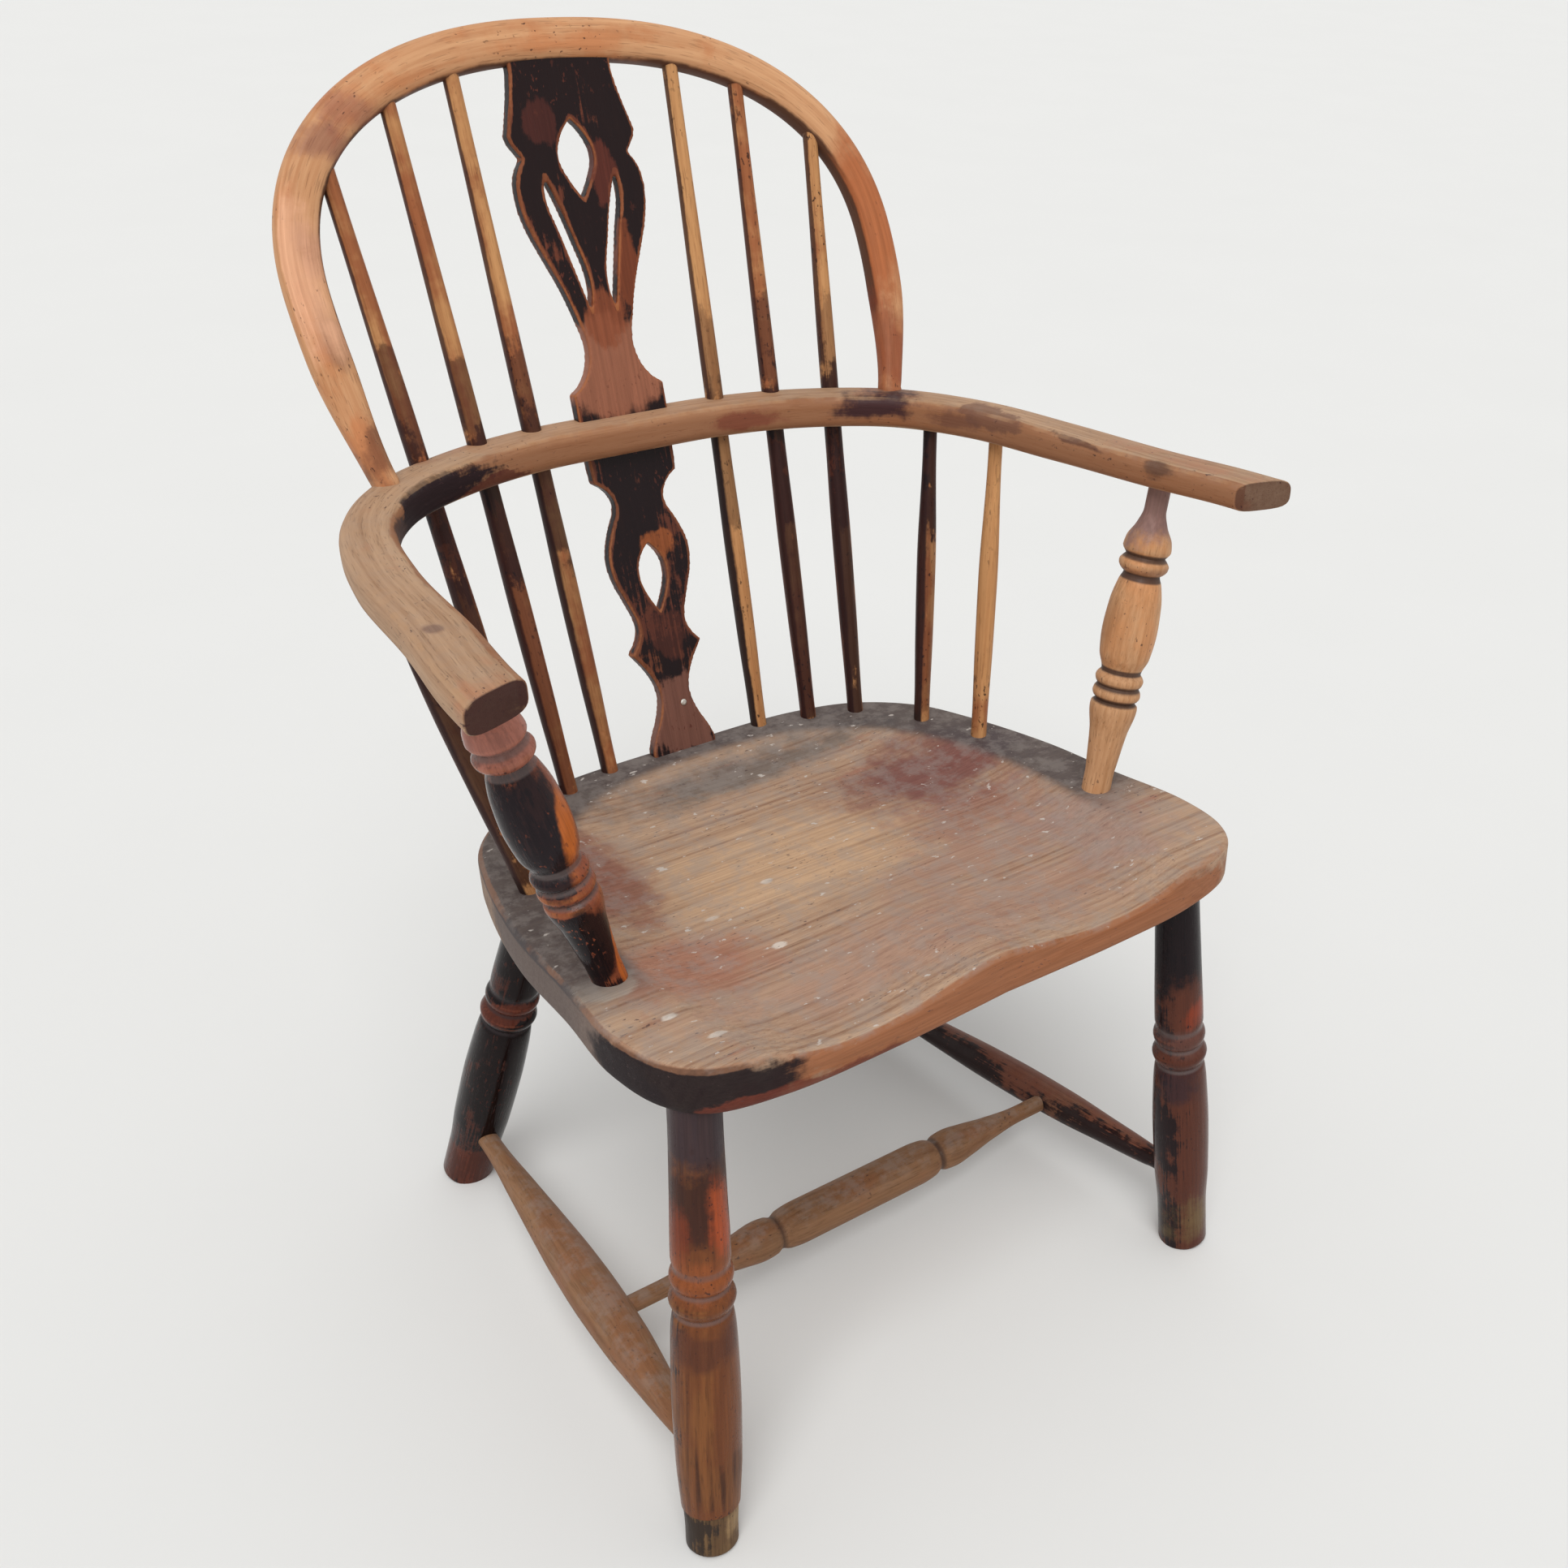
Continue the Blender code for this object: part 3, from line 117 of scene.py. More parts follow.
DUST_COLOUR = rgb(150, 142, 136)
SCUFF_COLOUR = rgb(198, 190, 182)


def scaled(colour: Colour, factor: float) -> Colour:
    """Lighter or darker version of a linear colour."""
    return tuple(channel * factor for channel in colour)


class Value:
    """Output of a shader node, with arithmetic that adds the nodes it needs."""

    def __init__(self, tree: "NodeTree", socket: bpy.types.NodeSocket) -> None:
        """Wrap a socket.

        Args:
            tree: Tree that the socket belongs to.
            socket: Output socket.
        """
        self.tree = tree
        self.socket = socket

    @property
    def is_vector(self) -> bool:
        """Whether the value has three parts."""
        return self.socket.type in {"VECTOR", "RGBA"}

    def _combine(self, operation: str, first: "Operand", second: "Operand") -> "Value":
        """Add a Math or Vector Math node.

        Args:
            operation: Name of the operation.
            first: First operand.
            second: Second operand.

        Returns:
            The node's result.
        """
        operands = (first, second)
        vector = any(
            isinstance(o, (tuple, Vector)) or (isinstance(o, Value) and o.is_vector) for o in operands
        )
        kind = "ShaderNodeVectorMath" if vector else "ShaderNodeMath"
        widened = [(o, o, o) if vector and isinstance(o, (int, float)) else o for o in operands]
        return self.tree.add(kind, {"operation": operation}, {0: widened[0], 1: widened[1]})

    def __add__(self, other: "Operand") -> "Value":
        """Sum."""
        return self._combine("ADD", self, other)

    def __radd__(self, other: "Operand") -> "Value":
        """Sum."""
        return self._combine("ADD", other, self)

    def __sub__(self, other: "Operand") -> "Value":
        """Difference."""
        return self._combine("SUBTRACT", self, other)

    def __rsub__(self, other: "Operand") -> "Value":
        """Difference."""
        return self._combine("SUBTRACT", other, self)

    def __mul__(self, other: "Operand") -> "Value":
        """Product."""
        return self._combine("MULTIPLY", self, other)

    def __rmul__(self, other: "Operand") -> "Value":
        """Product."""
        return self._combine("MULTIPLY", other, self)

    def __truediv__(self, other: "Operand") -> "Value":
        """Quotient."""
        return self._combine("DIVIDE", self, other)

    def __rtruediv__(self, other: "Operand") -> "Value":
        """Quotient."""
        return self._combine("DIVIDE", other, self)

    def dot(self, other: "Operand") -> "Value":
        """Dot product with a vector."""
        inputs = {0: self, 1: other}
        return self.tree.add("ShaderNodeVectorMath", {"operation": "DOT_PRODUCT"}, inputs, "Value")

    def length(self) -> "Value":
        """Length of the vector."""
        return self.tree.add("ShaderNodeVectorMath", {"operation": "LENGTH"}, {0: self}, "Value")

    def sine(self) -> "Value":
        """Sine of the number."""
        return self.tree.add("ShaderNodeMath", {"operation": "SINE"}, {0: self})

    def step(self, low: float, high: float) -> "Value":
        """Smooth step between two ends.

        Args:
            low: Where the result is 0.
            high: Where it is 1, which may be the smaller of the two.

        Returns:
            The step, 0 to 1.
        """
        ends = {"From Min": low, "From Max": high}
        if low > high:
            ends = {"From Min": high, "From Max": low, "To Min": 1.0, "To Max": 0.0}
        settings = {"interpolation_type": "SMOOTHSTEP"}
        return self.tree.add("ShaderNodeMapRange", settings, {"Value": self, **ends})

    def most(self, other: "Operand") -> "Value":
        """The larger of two numbers."""
        return self._combine("MAXIMUM", self, other)


Operand = Value | float | Colour | Vector


class NodeTree:
    """Node tree whose nodes are added by one method."""

    def __init__(self, tree: bpy.types.NodeTree) -> None:
        """Wrap a node tree.

        Args:
            tree: The node tree.
        """
        self.nodes = tree.nodes
        self.links = tree.links

    def feed(self, socket: bpy.types.NodeSocket, value: Operand) -> None:
        """Give an input socket a constant or a link.

        Args:
            socket: Input socket.
            value: What it gets.
        """
        if isinstance(value, Value):
            self.links.new(value.socket, socket)
        elif socket.type == "RGBA":
            socket.default_value = (*value, 1.0)
        else:
            socket.default_value = value

    def add(
        self, kind: str, settings: dict | None = None, inputs: dict | None = None, output: str | int = 0
    ) -> Value:
        """Add any node.

        Args:
            kind: Node type.
            settings: Node properties.
            inputs: Input socket names or numbers and what each gets.
            output: Name or number of the output that is wanted.

        Returns:
            That output.
        """
        node = self.nodes.new(kind)
        for name, value in (settings or {}).items():
            setattr(node, name, value)
        for name, value in (inputs or {}).items():
            self.feed(node.inputs[name], value)
        return Value(self, node.outputs[output])


class ShaderTree(NodeTree):
    """Node tree of one material with a Principled shader."""

    def __init__(self, name: str) -> None:
        """Make the material.

        Args:
            name: Name of the material.
        """
        self.material = bpy.data.materials.new(name)
        self.material.use_nodes = True
        super().__init__(self.material.node_tree)
        self.shader = self.nodes["Principled BSDF"]

    def noise(self, where: Value, scale: float, detail: float = 3.0, rough: float = 0.55) -> Value:
        """Noise between about 0.25 and 0.75.

        Args:
            where: Point that it is taken at.
            scale: How fine it is.
            detail: Number of finer layers.
            rough: Strength of the finer layers.

        Returns:
            The noise.
        """
        inputs = {"Vector": where, "Scale": scale, "Detail": detail, "Roughness": rough}
        return self.add("ShaderNodeTexNoise", None, inputs, "Fac")

    def blend(self, factor: Operand, low: Operand, high: Operand) -> Value:
        """Mix two colours by a factor from 0 to 1."""
        return self.add("ShaderNodeMix", {"data_type": "RGBA"}, {0: factor, 6: low, 7: high}, 2)

    def painted(self, name: str) -> Value:
        """Number painted on the mesh's points."""
        return self.add("ShaderNodeAttribute", {"attribute_name": name}, None, "Fac")

    def place(self) -> Value:
        """Point in the chair's frame, in metres."""
        return self.add("ShaderNodeTexCoord", None, None, "Object")


@dataclass(frozen=True)
class Patch:
    """Soft-edged stain, bare spot, discolouring, painted light or painted shade at one place.

    Attributes:
        centre: Its middle, in the chair's frame.
        size: Its half extents.
        colour: Its colour.
        strength: How well it covers, 0 to 1.
        ragged: How uneven its rim is.
        faces: Way that the faces look which it covers, or None for all.
        soft: How far its rim fades inwards.
    """

    centre: tuple[float, float, float]
    size: tuple[float, float, float]
    colour: Colour
    strength: float = 0.8
    ragged: float = 1.2
    faces: tuple[float, float, float] | None = None
    soft: float = 0.0

    def cover(self, place: Value, normal: Value, unevenness: Value) -> Value:
        """How much of each point the patch covers.

        Args:
            place: Point in the chair's frame.
            normal: Way that the surface looks there.
            unevenness: Noise that makes the rim ragged.

        Returns:
            Cover from 0 to the patch's strength.
        """
        distance = ((place - self.centre) / self.size).length()
        reach = distance + (unevenness - 0.5) * self.ragged * 2
        cover = reach.step(1.08, 0.84 - self.soft) * self.strength
        if self.faces is not None:
            turned_to = normal.dot(self.faces) + (unevenness - 0.5) * self.ragged * 0.8
            cover = cover * turned_to.step(0.30, 0.55)
        return cover


@dataclass(frozen=True)
class WornWood:
    """Old wood with a red-brown varnish and a near-black stain, each partly worn away.

    Attributes:
        name: Name of the material.
        bare: Light bare wood.
        bare_dark: Its darker grain.
        varnish: Varnish colour.
        stain: Stain colour.
        varnish_cover: Share of the surface with varnish, 0 to 1.
        stain_cover: Share of the surface with stain, 0 to 1.
        keeps: Direction of the faces that keep the stain best; on the sticks it also paints shade on their
            left side.
        keeps_more: How much better they keep it.
        figure: Strength of the growth lines.
        figure_pitch: Growth lines in a metre.
        figure_bend: How much they wander.
        hollow_colour: Colour of grooves and margins.
        hollow_cover: How well that covers.
        edge_wear: How much the rims lose.
        flecks: Share of small specks.
        dust: Dust on faces that look up.
        grain_stretch: Fibres in a metre, across and along.
        seed: Offset of the patterns.
        patches: Stains, bare spots, painted light and painted shade at set places.
        rough: Roughness of the bare wood.
        inner: Colour of the inner face of a bow, or None.
        inner_at: Where that face starts, from the bow's middle line.
        inner_cover: How well the colour covers.
        rim_colour: Colour of rubbed rims.
        rim_wear: How well that shows.
        scuffs: Pale scuffs on faces that look up.
    """

    name: str
    bare: Colour
    bare_dark: Colour
    varnish: Colour
    stain: Colour
    varnish_cover: float = 0.5
    stain_cover: float = 0.3
    keeps: tuple[float, float, float] = (-0.8, 0.5, -0.1)
    keeps_more: float = 0.1
    figure: float = 0.35
    figure_pitch: float = 180.0
    figure_bend: float = 14.0
    hollow_colour: Colour = field(default_factory=lambda: rgb(52, 42, 40))
    hollow_cover: float = 0.8
    edge_wear: float = 0.25
    flecks: float = 0.25
    dust: float = 0.1
    grain_stretch: tuple[float, float] = (420.0, 14.0)
    seed: float = 0.0
    patches: tuple[Patch, ...] = ()
    rough: float = 0.58
    inner: Colour | None = None
    inner_at: float = 0.011
    inner_cover: float = 0.85
    rim_colour: Colour = field(default_factory=lambda: rgb(168, 106, 66))
    rim_wear: float = 0.0
    scuffs: float = 0.0

    def material(self) -> bpy.types.Material:
        """Build the material.

        Returns:
            The material.
        """
        tree = ShaderTree(self.name)
        place = tree.place() + (self.seed, self.seed * 0.7, self.seed * 0.3)
        true_place = tree.place()
        bare_grain = tree.add("ShaderNodeAttribute", {"attribute_name": "grain"}, None, "Vector")
        grain = bare_grain + (self.seed, self.seed * 1.3, self.seed * 0.6)
        hollow, edge = tree.painted("hollow"), tree.painted("edge")
        normal = tree.add("ShaderNodeTexCoord", None, None, "Normal")
        across, lengthwise = self.grain_stretch

        fibre = tree.noise(grain * (across, across, lengthwise), 1.0, 4.0, 0.6)
        streak = tree.noise(grain * (across / 7, across / 7, lengthwise / 3), 1.0, 3.0, 0.5)
        pores = tree.noise(grain * (across * 2.4, across * 2.4, lengthwise * 5), 1.0, 1.0, 0.4)
        pores = pores.step(0.60, 0.70)
        drift = tree.noise(grain * (11.0, 11.0, 2.5), 1.0, 2.0)
        turns = grain.dot((self.figure_pitch, self.figure_pitch * 0.35, 0.0)) * 2 * pi
        lines = (turns + drift * self.figure_bend).sine()
        lines = lines.step(-0.2, 1.0) * streak.step(0.30, 0.62) * self.figure

        tone = fibre.step(0.32, 0.70) * 0.36 + streak.step(0.35, 0.65) * 0.30 + lines
        colour = tree.blend(tone, self.bare, self.bare_dark)
        colour = tree.blend(pores * 0.30, colour, scaled(self.bare_dark, 0.35))

        blotch = tree.noise(place, BLOTCH_SCALE, 5.0, 0.62)
        wide = tree.noise(place, WIDE_SCALE, 3.0, 0.5)
        kept = normal.dot(self.keeps)
        rub = edge * self.edge_wear
        score = blotch * 0.6 + wide * 0.4 + (streak - 0.5) * 0.35 - rub
        varnished = score.step(*self._threshold(self.varnish_cover, 0.06))
        stain_score = tree.noise(place, STAIN_SCALE, 6.0, 0.70) * 0.55 + wide * 0.45 + (fibre - 0.5) * 0.3
        stain_score = stain_score - rub + kept * self.keeps_more
        stained = stain_score.step(*self._threshold(self.stain_cover, 0.030))
        varnish = tree.blend(fibre.step(0.3, 0.75), scaled(self.varnish, LIGHT_FIBRE), self.varnish)
        colour = tree.blend(varnished * 0.80, colour, varnish)
        colour = tree.blend(stained * 0.95, colour, self.stain)
        if self.inner is not None:
            inside = bare_grain.dot((1.0, 0.0, 0.0)) + (blotch - 0.5) * 0.008
            inside = inside.step(-self.inner_at, -self.inner_at - 0.002)
            colour = tree.blend(inside * self.inner_cover, colour, self.inner)

        unevenness = tree.noise(place, RIM_SCALE, 5.0, 0.65) * 0.55 + streak * 0.30 + fibre * 0.15
        for patch in self.patches:
            shade = tree.blend(fibre.step(0.3, 0.7), scaled(patch.colour, LIGHT_FIBRE), patch.colour)
            colour = tree.blend(patch.cover(true_place, normal, unevenness), colour, shade)

        speck = tree.noise(grain * (across * 0.9, across * 0.9, lengthwise * 16), 1.0, 2.0, 0.5)
        speck = speck.step(0.67 - self.flecks * 0.1, 0.72 - self.flecks * 0.1) * blotch.step(0.44, 0.60) * 0.8
        rusty = tree.blend(stained, scaled(self.stain, 1.4), scaled(self.varnish, 1.25))
        colour = tree.blend(speck, colour, rusty)
        colour = tree.blend(hollow * self.hollow_cover, colour, self.hollow_colour)
        rim = (edge + (unevenness - 0.5) * 1.4).step(0.55, 0.80) * blotch.step(0.40, 0.52) * self.rim_wear
        colour = tree.blend(rim, colour, self.rim_colour)
        upward = normal.dot((0.0, 0.0, 1.0)).step(0.2, 1.0)
        dusty = upward * tree.noise(place, DUST_SCALE, 5.0, 0.7).step(0.42, 0.62) * self.dust
        colour = tree.blend(dusty, colour, DUST_COLOUR)
        if self.scuffs > 0:
            scuff = tree.noise(place * (1.0, 1.6, 1.0), SCUFF_SCALE, 3.0, 0.6).step(0.66, 0.72)
            colour = tree.blend(scuff * upward * self.scuffs, colour, SCUFF_COLOUR)

        shine = varnished * -0.14 + stained * -0.10 + fibre * 0.16 + dusty * 0.4 + (self.rough - 0.06)
        relief = fibre * 0.30 + pores * -0.35 + varnished * 0.25 + stained * 0.35 + blotch * 0.25
        bump_inputs = {"Strength": RELIEF_STRENGTH, "Distance": RELIEF_DEPTH, "Height": relief}
        bump = tree.add("ShaderNodeBump", None, bump_inputs, "Normal")
        tree.feed(tree.shader.inputs["Base Color"], colour)
        tree.feed(tree.shader.inputs["Roughness"], shine)
        tree.feed(tree.shader.inputs["Normal"], bump)
        tree.feed(tree.shader.inputs["Specular IOR Level"], SHEEN)
        return tree.material

    @staticmethod
    def _threshold(cover: float, softness: float) -> tuple[float, float]:
        """Ends of the step that leaves a share of a noise covered.

        Args:
            cover: The share.
            softness: Half the width of the step.

        Returns:
            The lower and the upper end.
        """
        middle = 0.70 - 0.40 * cover
        return middle - softness, middle + softness


@dataclass(frozen=True)
class Metal:
    """Bright small nail.

    Attributes:
        name: Name of the material.
    """

    name: str

    def material(self) -> bpy.types.Material:
        """Build the material.

        Returns:
            The material.
        """
        tree = ShaderTree(self.name)
        scratch = tree.noise(tree.place(), 2200.0, 2.0)
        shade = tree.blend(scratch, rgb(236, 236, 230), rgb(190, 186, 178))
        tree.feed(tree.shader.inputs["Base Color"], shade)
        tree.feed(tree.shader.inputs["Roughness"], scratch * 0.3 + 0.2)
        tree.feed(tree.shader.inputs["Metallic"], 1.0)
        return tree.material


class Smooth(Enum):
    """How a mesh's edges are shaded."""

    ALL = 180
    KEEP_RIMS = 38


def make_object(
    name: str,
    points: Sequence[Vector],
    faces: Sequence[Sequence[int]],
    paint: dict[str, Sequence],
    smooth: Smooth = Smooth.KEEP_RIMS,
) -> bpy.types.Object:
    """Make a mesh object with its painted points.

    Args:
        name: Name of the object.
        points: Points in the chair's frame.
        faces: Point numbers of each face.
        paint: Values for each point, by attribute name; three numbers each make a vector.
        smooth: Edge shading.

    Returns:
        The object.
    """
    mesh = bpy.data.meshes.new(name)
    mesh.from_pydata([tuple(p) for p in points], [], [tuple(f) for f in faces])
    for attribute_name, values in paint.items():
        is_vector = hasattr(values[0], "__len__")
        kind, key = ("FLOAT_VECTOR", "vector") if is_vector else ("FLOAT", "value")
        attribute = mesh.attributes.new(attribute_name, kind, "POINT")
        flat = np.array([tuple(v) for v in values] if is_vector else values, dtype=np.float32).ravel()
        attribute.data.foreach_set(key, flat)
    mesh.validate()
    mesh.update()
    mesh.shade_smooth()
    if smooth is not Smooth.ALL:
        mesh.set_sharp_from_angle(angle=radians(smooth.value))
    piece = bpy.data.objects.new(name, mesh)
    bpy.context.scene.collection.objects.link(piece)
    return piece


@dataclass
class Skin:
    """Tube-like surface through rings of equal count, closed at both ends.

    Attributes:
        rings: Points of each ring.
        grain: Grain coordinates of each point.
        hollow: Groove value of each point.
        edge: Rim value of each point.
    """

    rings: list[list[Vector]] = field(default_factory=list)
    grain: list[list[tuple[float, float, float]]] = field(default_factory=list)
    hollow: list[list[float]] = field(default_factory=list)
    edge: list[list[float]] = field(default_factory=list)

    def add_ring(
        self,
        points: list[Vector],
        grain: list[tuple[float, float, float]],
        hollow: list[float],
        edge: list[float],
    ) -> None:
        """Add the next ring.

        Args:
            points: Its points.
            grain: Their grain coordinates.
            hollow: Their groove values.
            edge: Their rim values.
        """
        self.rings.append(points)
        self.grain.append(grain)
        self.hollow.append(hollow)
        self.edge.append(edge)

    def build(self, name: str) -> bpy.types.Object:
        """Make the object, with its faces pointing out.

        Args:
            name: Name of the object.

        Returns:
            The object.
        """
        count = len(self.rings[0])
        points = [p for ring in self.rings for p in ring]
        faces = []
        for low in range(len(self.rings) - 1):
            for i in range(count):
                j = (i + 1) % count
                faces.append((low * count + i, low * count + j, (low + 1) * count + j, (low + 1) * count + i))
        faces.append(tuple(range(count))[::-1])
        faces.append(tuple(range(len(points) - count, len(points))))
        paint = {
            "grain": [g for ring in self.grain for g in ring],
            "hollow": [h for ring in self.hollow for h in ring],
            "edge": [e for ring in self.edge for e in ring],
        }
        piece = make_object(name, points, faces, paint)
        if _inside_out(piece):
            piece.data.flip_normals()
        return piece


def monotone(profile: Profile, step: float) -> Profile:
    """Smooth a turned profile without overshoot.

    Args:
        profile: Distance and radius pairs with rising distance.
        step: Wanted spacing.

    Returns:
        Dense pairs.
    """
    xs = np.array([p[0] for p in profile])
    ys = np.array([p[1] for p in profile])
    keep = np.concatenate(([True], np.diff(xs) > 1e-5))
    xs, ys = xs[keep], ys[keep]
    gaps = np.diff(xs)
    slopes = np.diff(ys) / gaps
    tangents = np.zeros(len(xs))
    for i in range(1, len(xs) - 1):
        if slopes[i - 1] * slopes[i] > 0:
            w1, w2 = 2 * gaps[i] + gaps[i - 1], gaps[i] + 2 * gaps[i - 1]
            tangents[i] = (w1 + w2) / (w1 / slopes[i - 1] + w2 / slopes[i])
    tangents[0], tangents[-1] = slopes[0], slopes[-1]
    dense: Profile = []
    for i, gap in enumerate(gaps):
        pieces = max(1, int(round(gap / step)))
        for k in range(pieces):
            t = k / pieces
            h00, h10 = 2 * t**3 - 3 * t**2 + 1, t**3 - 2 * t**2 + t
            h01, h11 = -2 * t**3 + 3 * t**2, t**3 - t**2
            value = h00 * ys[i] + h10 * gap * tangents[i] + h01 * ys[i + 1] + h11 * gap * tangents[i + 1]
            dense.append((float(xs[i] + gap * t), float(value)))
    dense.append((float(xs[-1]), float(ys[-1])))
    return dense


@dataclass
class TurnedNode:
    """Turned piece that takes its axis and profile from a solid of the frame.

    Attributes:
        node: Name of the node.
        sides: Facets of the node round its axis.
        step: Spacing of the fine rings.
        on_floor: Whether its lower end stands on the floor.
        facets: Facets of the fine piece.
        least: Radius below which a ring past the middle belongs to a socket.
        downwards: Whether the axis runs down.
        groove_reach: How near the rims of a groove stand.
        groove_depth: How deep a groove is that holds all the dirt it can.
    """

    node: str
    sides: int
    step: float
    on_floor: bool = False
    facets: int = 40
    least: float = 0.0
    downwards: bool = False
    groove_reach: float = 0.0065
    groove_depth: float = 0.0011

    def axis_and_profile(self) -> tuple[Vector, Vector, Profile]:
        """Find the node's axis and the radius along it.

        Returns:
            The start of the axis, its direction and the profile.
        """
        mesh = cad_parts[self.node].data
        flat = np.empty(len(mesh.vertices) * 3)
        mesh.vertices.foreach_get("co", flat)
        points = np.unique(np.round(flat.reshape(-1, 3), 6), axis=0)
        centre = points.mean(axis=0)
        direction = np.linalg.svd(points - centre, full_matrices=False)[2][0]
        if (direction[2] > 0) == self.downwards:
            direction = -direction
        for _ in range(2):
            along = (points - centre) @ direction
            order = np.argsort(along)
            breaks = np.where(np.diff(along[order]) > ROUGH_GAP)[0] + 1
            groups = np.split(order, breaks)
            whole = [g for g in groups if len(g) in (self.sides, 2 * self.sides)]
            middles = np.array([points[g].mean(axis=0) for g in whole])
            centre = middles.mean(axis=0)
            fitted = np.linalg.svd(middles - centre, full_matrices=False)[2][0]
            direction = fitted * np.sign(fitted @ direction)
        along = (points - centre) @ direction
        radii = np.linalg.norm(points - centre - along[:, None] * direction, axis=1)
        profile: Profile = []
        breaks = np.where(np.diff(np.sort(along)) > FINE_GAP)[0] + 1
        for group in np.split(np.argsort(along), breaks):
            last = profile[-1][1] if profile else 0.0
            found = []
            for radius in sorted({round(r, 4) for r in radii[group]}, key=lambda r: abs(r - last)):
                members = group[np.abs(radii[group] - radius) < SAME_RADIUS]
                if len(members) >= self.sides * 0.8 and all(abs(radius - r) > OTHER_RADIUS for r in found):
                    place = float(along[members].mean()) + STEP_RUN * len(found)
                    profile.append((place, float(radii[members].mean())))
                    found.append(radius)
        half = (profile[0][0] + profile[-1][0]) / 2
        profile = [(t, r) for t, r in profile if t < half or r > self.least]
        start = centre + direction * profile[0][0]
        first = profile[0][0]
        return Vector(start), Vector(direction), [(t - first, r) for t, r in profile]

    def build(self) -> bpy.types.Object:
        """Make the fine piece over the node.

        Returns:
            The piece.
        """
        start, direction, rough = self.axis_and_profile()
        turn = direction.to_track_quat("Z", "Y").to_matrix()
        if self.on_floor:
            floor_at = -start.z / direction.z
            last_radius = rough[-1][1]
            rough = [pair for pair in rough if pair[0] < floor_at - FOOT_CLEAR]
            rough += [(floor_at - FOOT_BEVEL_RISE, last_radius), (floor_at, last_radius - FOOT_BEVEL)]
        profile = monotone(rough, self.step)
        skin = Skin()
        for t, radius in profile:
            near = [r for u, r in profile if abs(u - t) < self.groove_reach]
            before = max(r for u, r in profile if -self.groove_reach < u - t <= 0)
            after = max(r for u, r in profile if 0 <= u - t < self.groove_reach)
            depth = (min(before, after) - radius) / self.groove_depth
            on_rim = radius > max(near) - 0.0004 and max(near) - min(near) > 0.0025
            ring, coordinates = [], []
            for i in range(self.facets):
                a = 2 * pi * i / self.facets
                offset = turn @ Vector((radius * cos(a), radius * sin(a), 0))
                point = start + direction * t + offset
                if self.on_floor and point.z < 0.0:
                    point -= direction * (point.z / direction.z)
                ring.append(point)
                coordinates.append((radius * cos(a), radius * sin(a), t))
            hollow = [min(1.0, max(0.0, depth))] * self.facets
            skin.add_ring(ring, coordinates, hollow, [1.0 if on_rim else 0.0] * self.facets)
        return skin.build(self.node + "_turned")


def _inside_out(piece: bpy.types.Object) -> bool:
    """Find whether a closed piece has its faces pointing in.

    Args:
        piece: The piece.

    Returns:
        True where they point in.
    """
    total = 0.0
    mesh = piece.data
    mesh.calc_loop_triangles()
    for triangle in mesh.loop_triangles:
        a, b, c = (mesh.vertices[i].co for i in triangle.vertices)
        total += a.dot(b.cross(c))
    return total < 0


def curve_through(knots: Sequence[Vector], count: int) -> list[Vector]:
    """Points on a centripetal curve through the knots, spread evenly by length.

    Args:
        knots: Points that it goes through.
        count: Number of points wanted.

    Returns:
        The points.
    """
    knots = [Vector(k) for k in knots]
    ends = [2 * knots[0] - knots[1], *knots, 2 * knots[-1] - knots[-2]]
    fine = []
    for p0, p1, p2, p3 in zip(ends, ends[1:], ends[2:], ends[3:]):
        times = [0.0]
        for a, b in ((p0, p1), (p1, p2), (p2, p3)):
            times.append(times[-1] + max((b - a).length, 1e-9) ** 0.5)
        for step in range(CURVE_STEPS):
            t = times[1] + (times[2] - times[1]) * step / CURVE_STEPS
            a1 = p0.lerp(p1, (t - times[0]) / (times[1] - times[0]))
            a2 = p1.lerp(p2, (t - times[1]) / (times[2] - times[1]))
            a3 = p2.lerp(p3, (t - times[2]) / (times[3] - times[2]))
            b1 = a1.lerp(a2, (t - times[0]) / (times[2] - times[0]))
            b2 = a2.lerp(a3, (t - times[1]) / (times[3] - times[1]))
            fine.append(b1.lerp(b2, (t - times[1]) / (times[2] - times[1])))
    fine.append(knots[-1])
    lengths = [0.0]
    for a, b in zip(fine, fine[1:]):
        lengths.append(lengths[-1] + (b - a).length)
    evenly, segment = [], 0
    for i in range(count):
        wanted = lengths[-1] * i / (count - 1)
        while segment < len(fine) - 2 and lengths[segment + 1] < wanted:
            segment += 1
        span = lengths[segment + 1] - lengths[segment]
        evenly.append(fine[segment].lerp(fine[segment + 1], (wanted - lengths[segment]) / span))
    return evenly


def ease(value: float) -> float:
    """Smooth step from 0 to 1."""
    value = min(1.0, max(0.0, value))
    return value * value * (3 - 2 * value)


def blend(points: Sequence[tuple[float, float]], share: float) -> float:
    """Value at a share, eased between given ones.

    Args:
        points: Pairs of a share and its value.
        share: Share that is wanted.

    Returns:
        The value there.
    """
    for (s0, v0), (s1, v1) in zip(points, points[1:]):
        if share <= s1:
            return v0 + (v1 - v0) * ease((share - s0) / (s1 - s0))
    return points[-1][1]


def rounded_section(half_width: float, half_depth: float, squareness: float, count: int) -> list[tuple]:
    """Rounded rectangle.

    Args:
        half_width: Half its width.
        half_depth: Half its depth.
        squareness: Sharpness of its corners, 2 being an ellipse.
        count: Number of points.

    Returns:
        Triples of across, deep and rim, rim being 1 at a corner.
    """
    section = []
    for i in range(count):
        a = 2 * pi * (i + 0.5) / count
        c, s = cos(a), sin(a)
        reach = (abs(c) ** squareness + abs(s) ** squareness) ** (-1 / squareness)
        corner = max(0.0, 1 - abs(abs(c) - abs(s)) / 0.35)
        section.append((half_width * reach * c, half_depth * reach * s, corner))
    return section


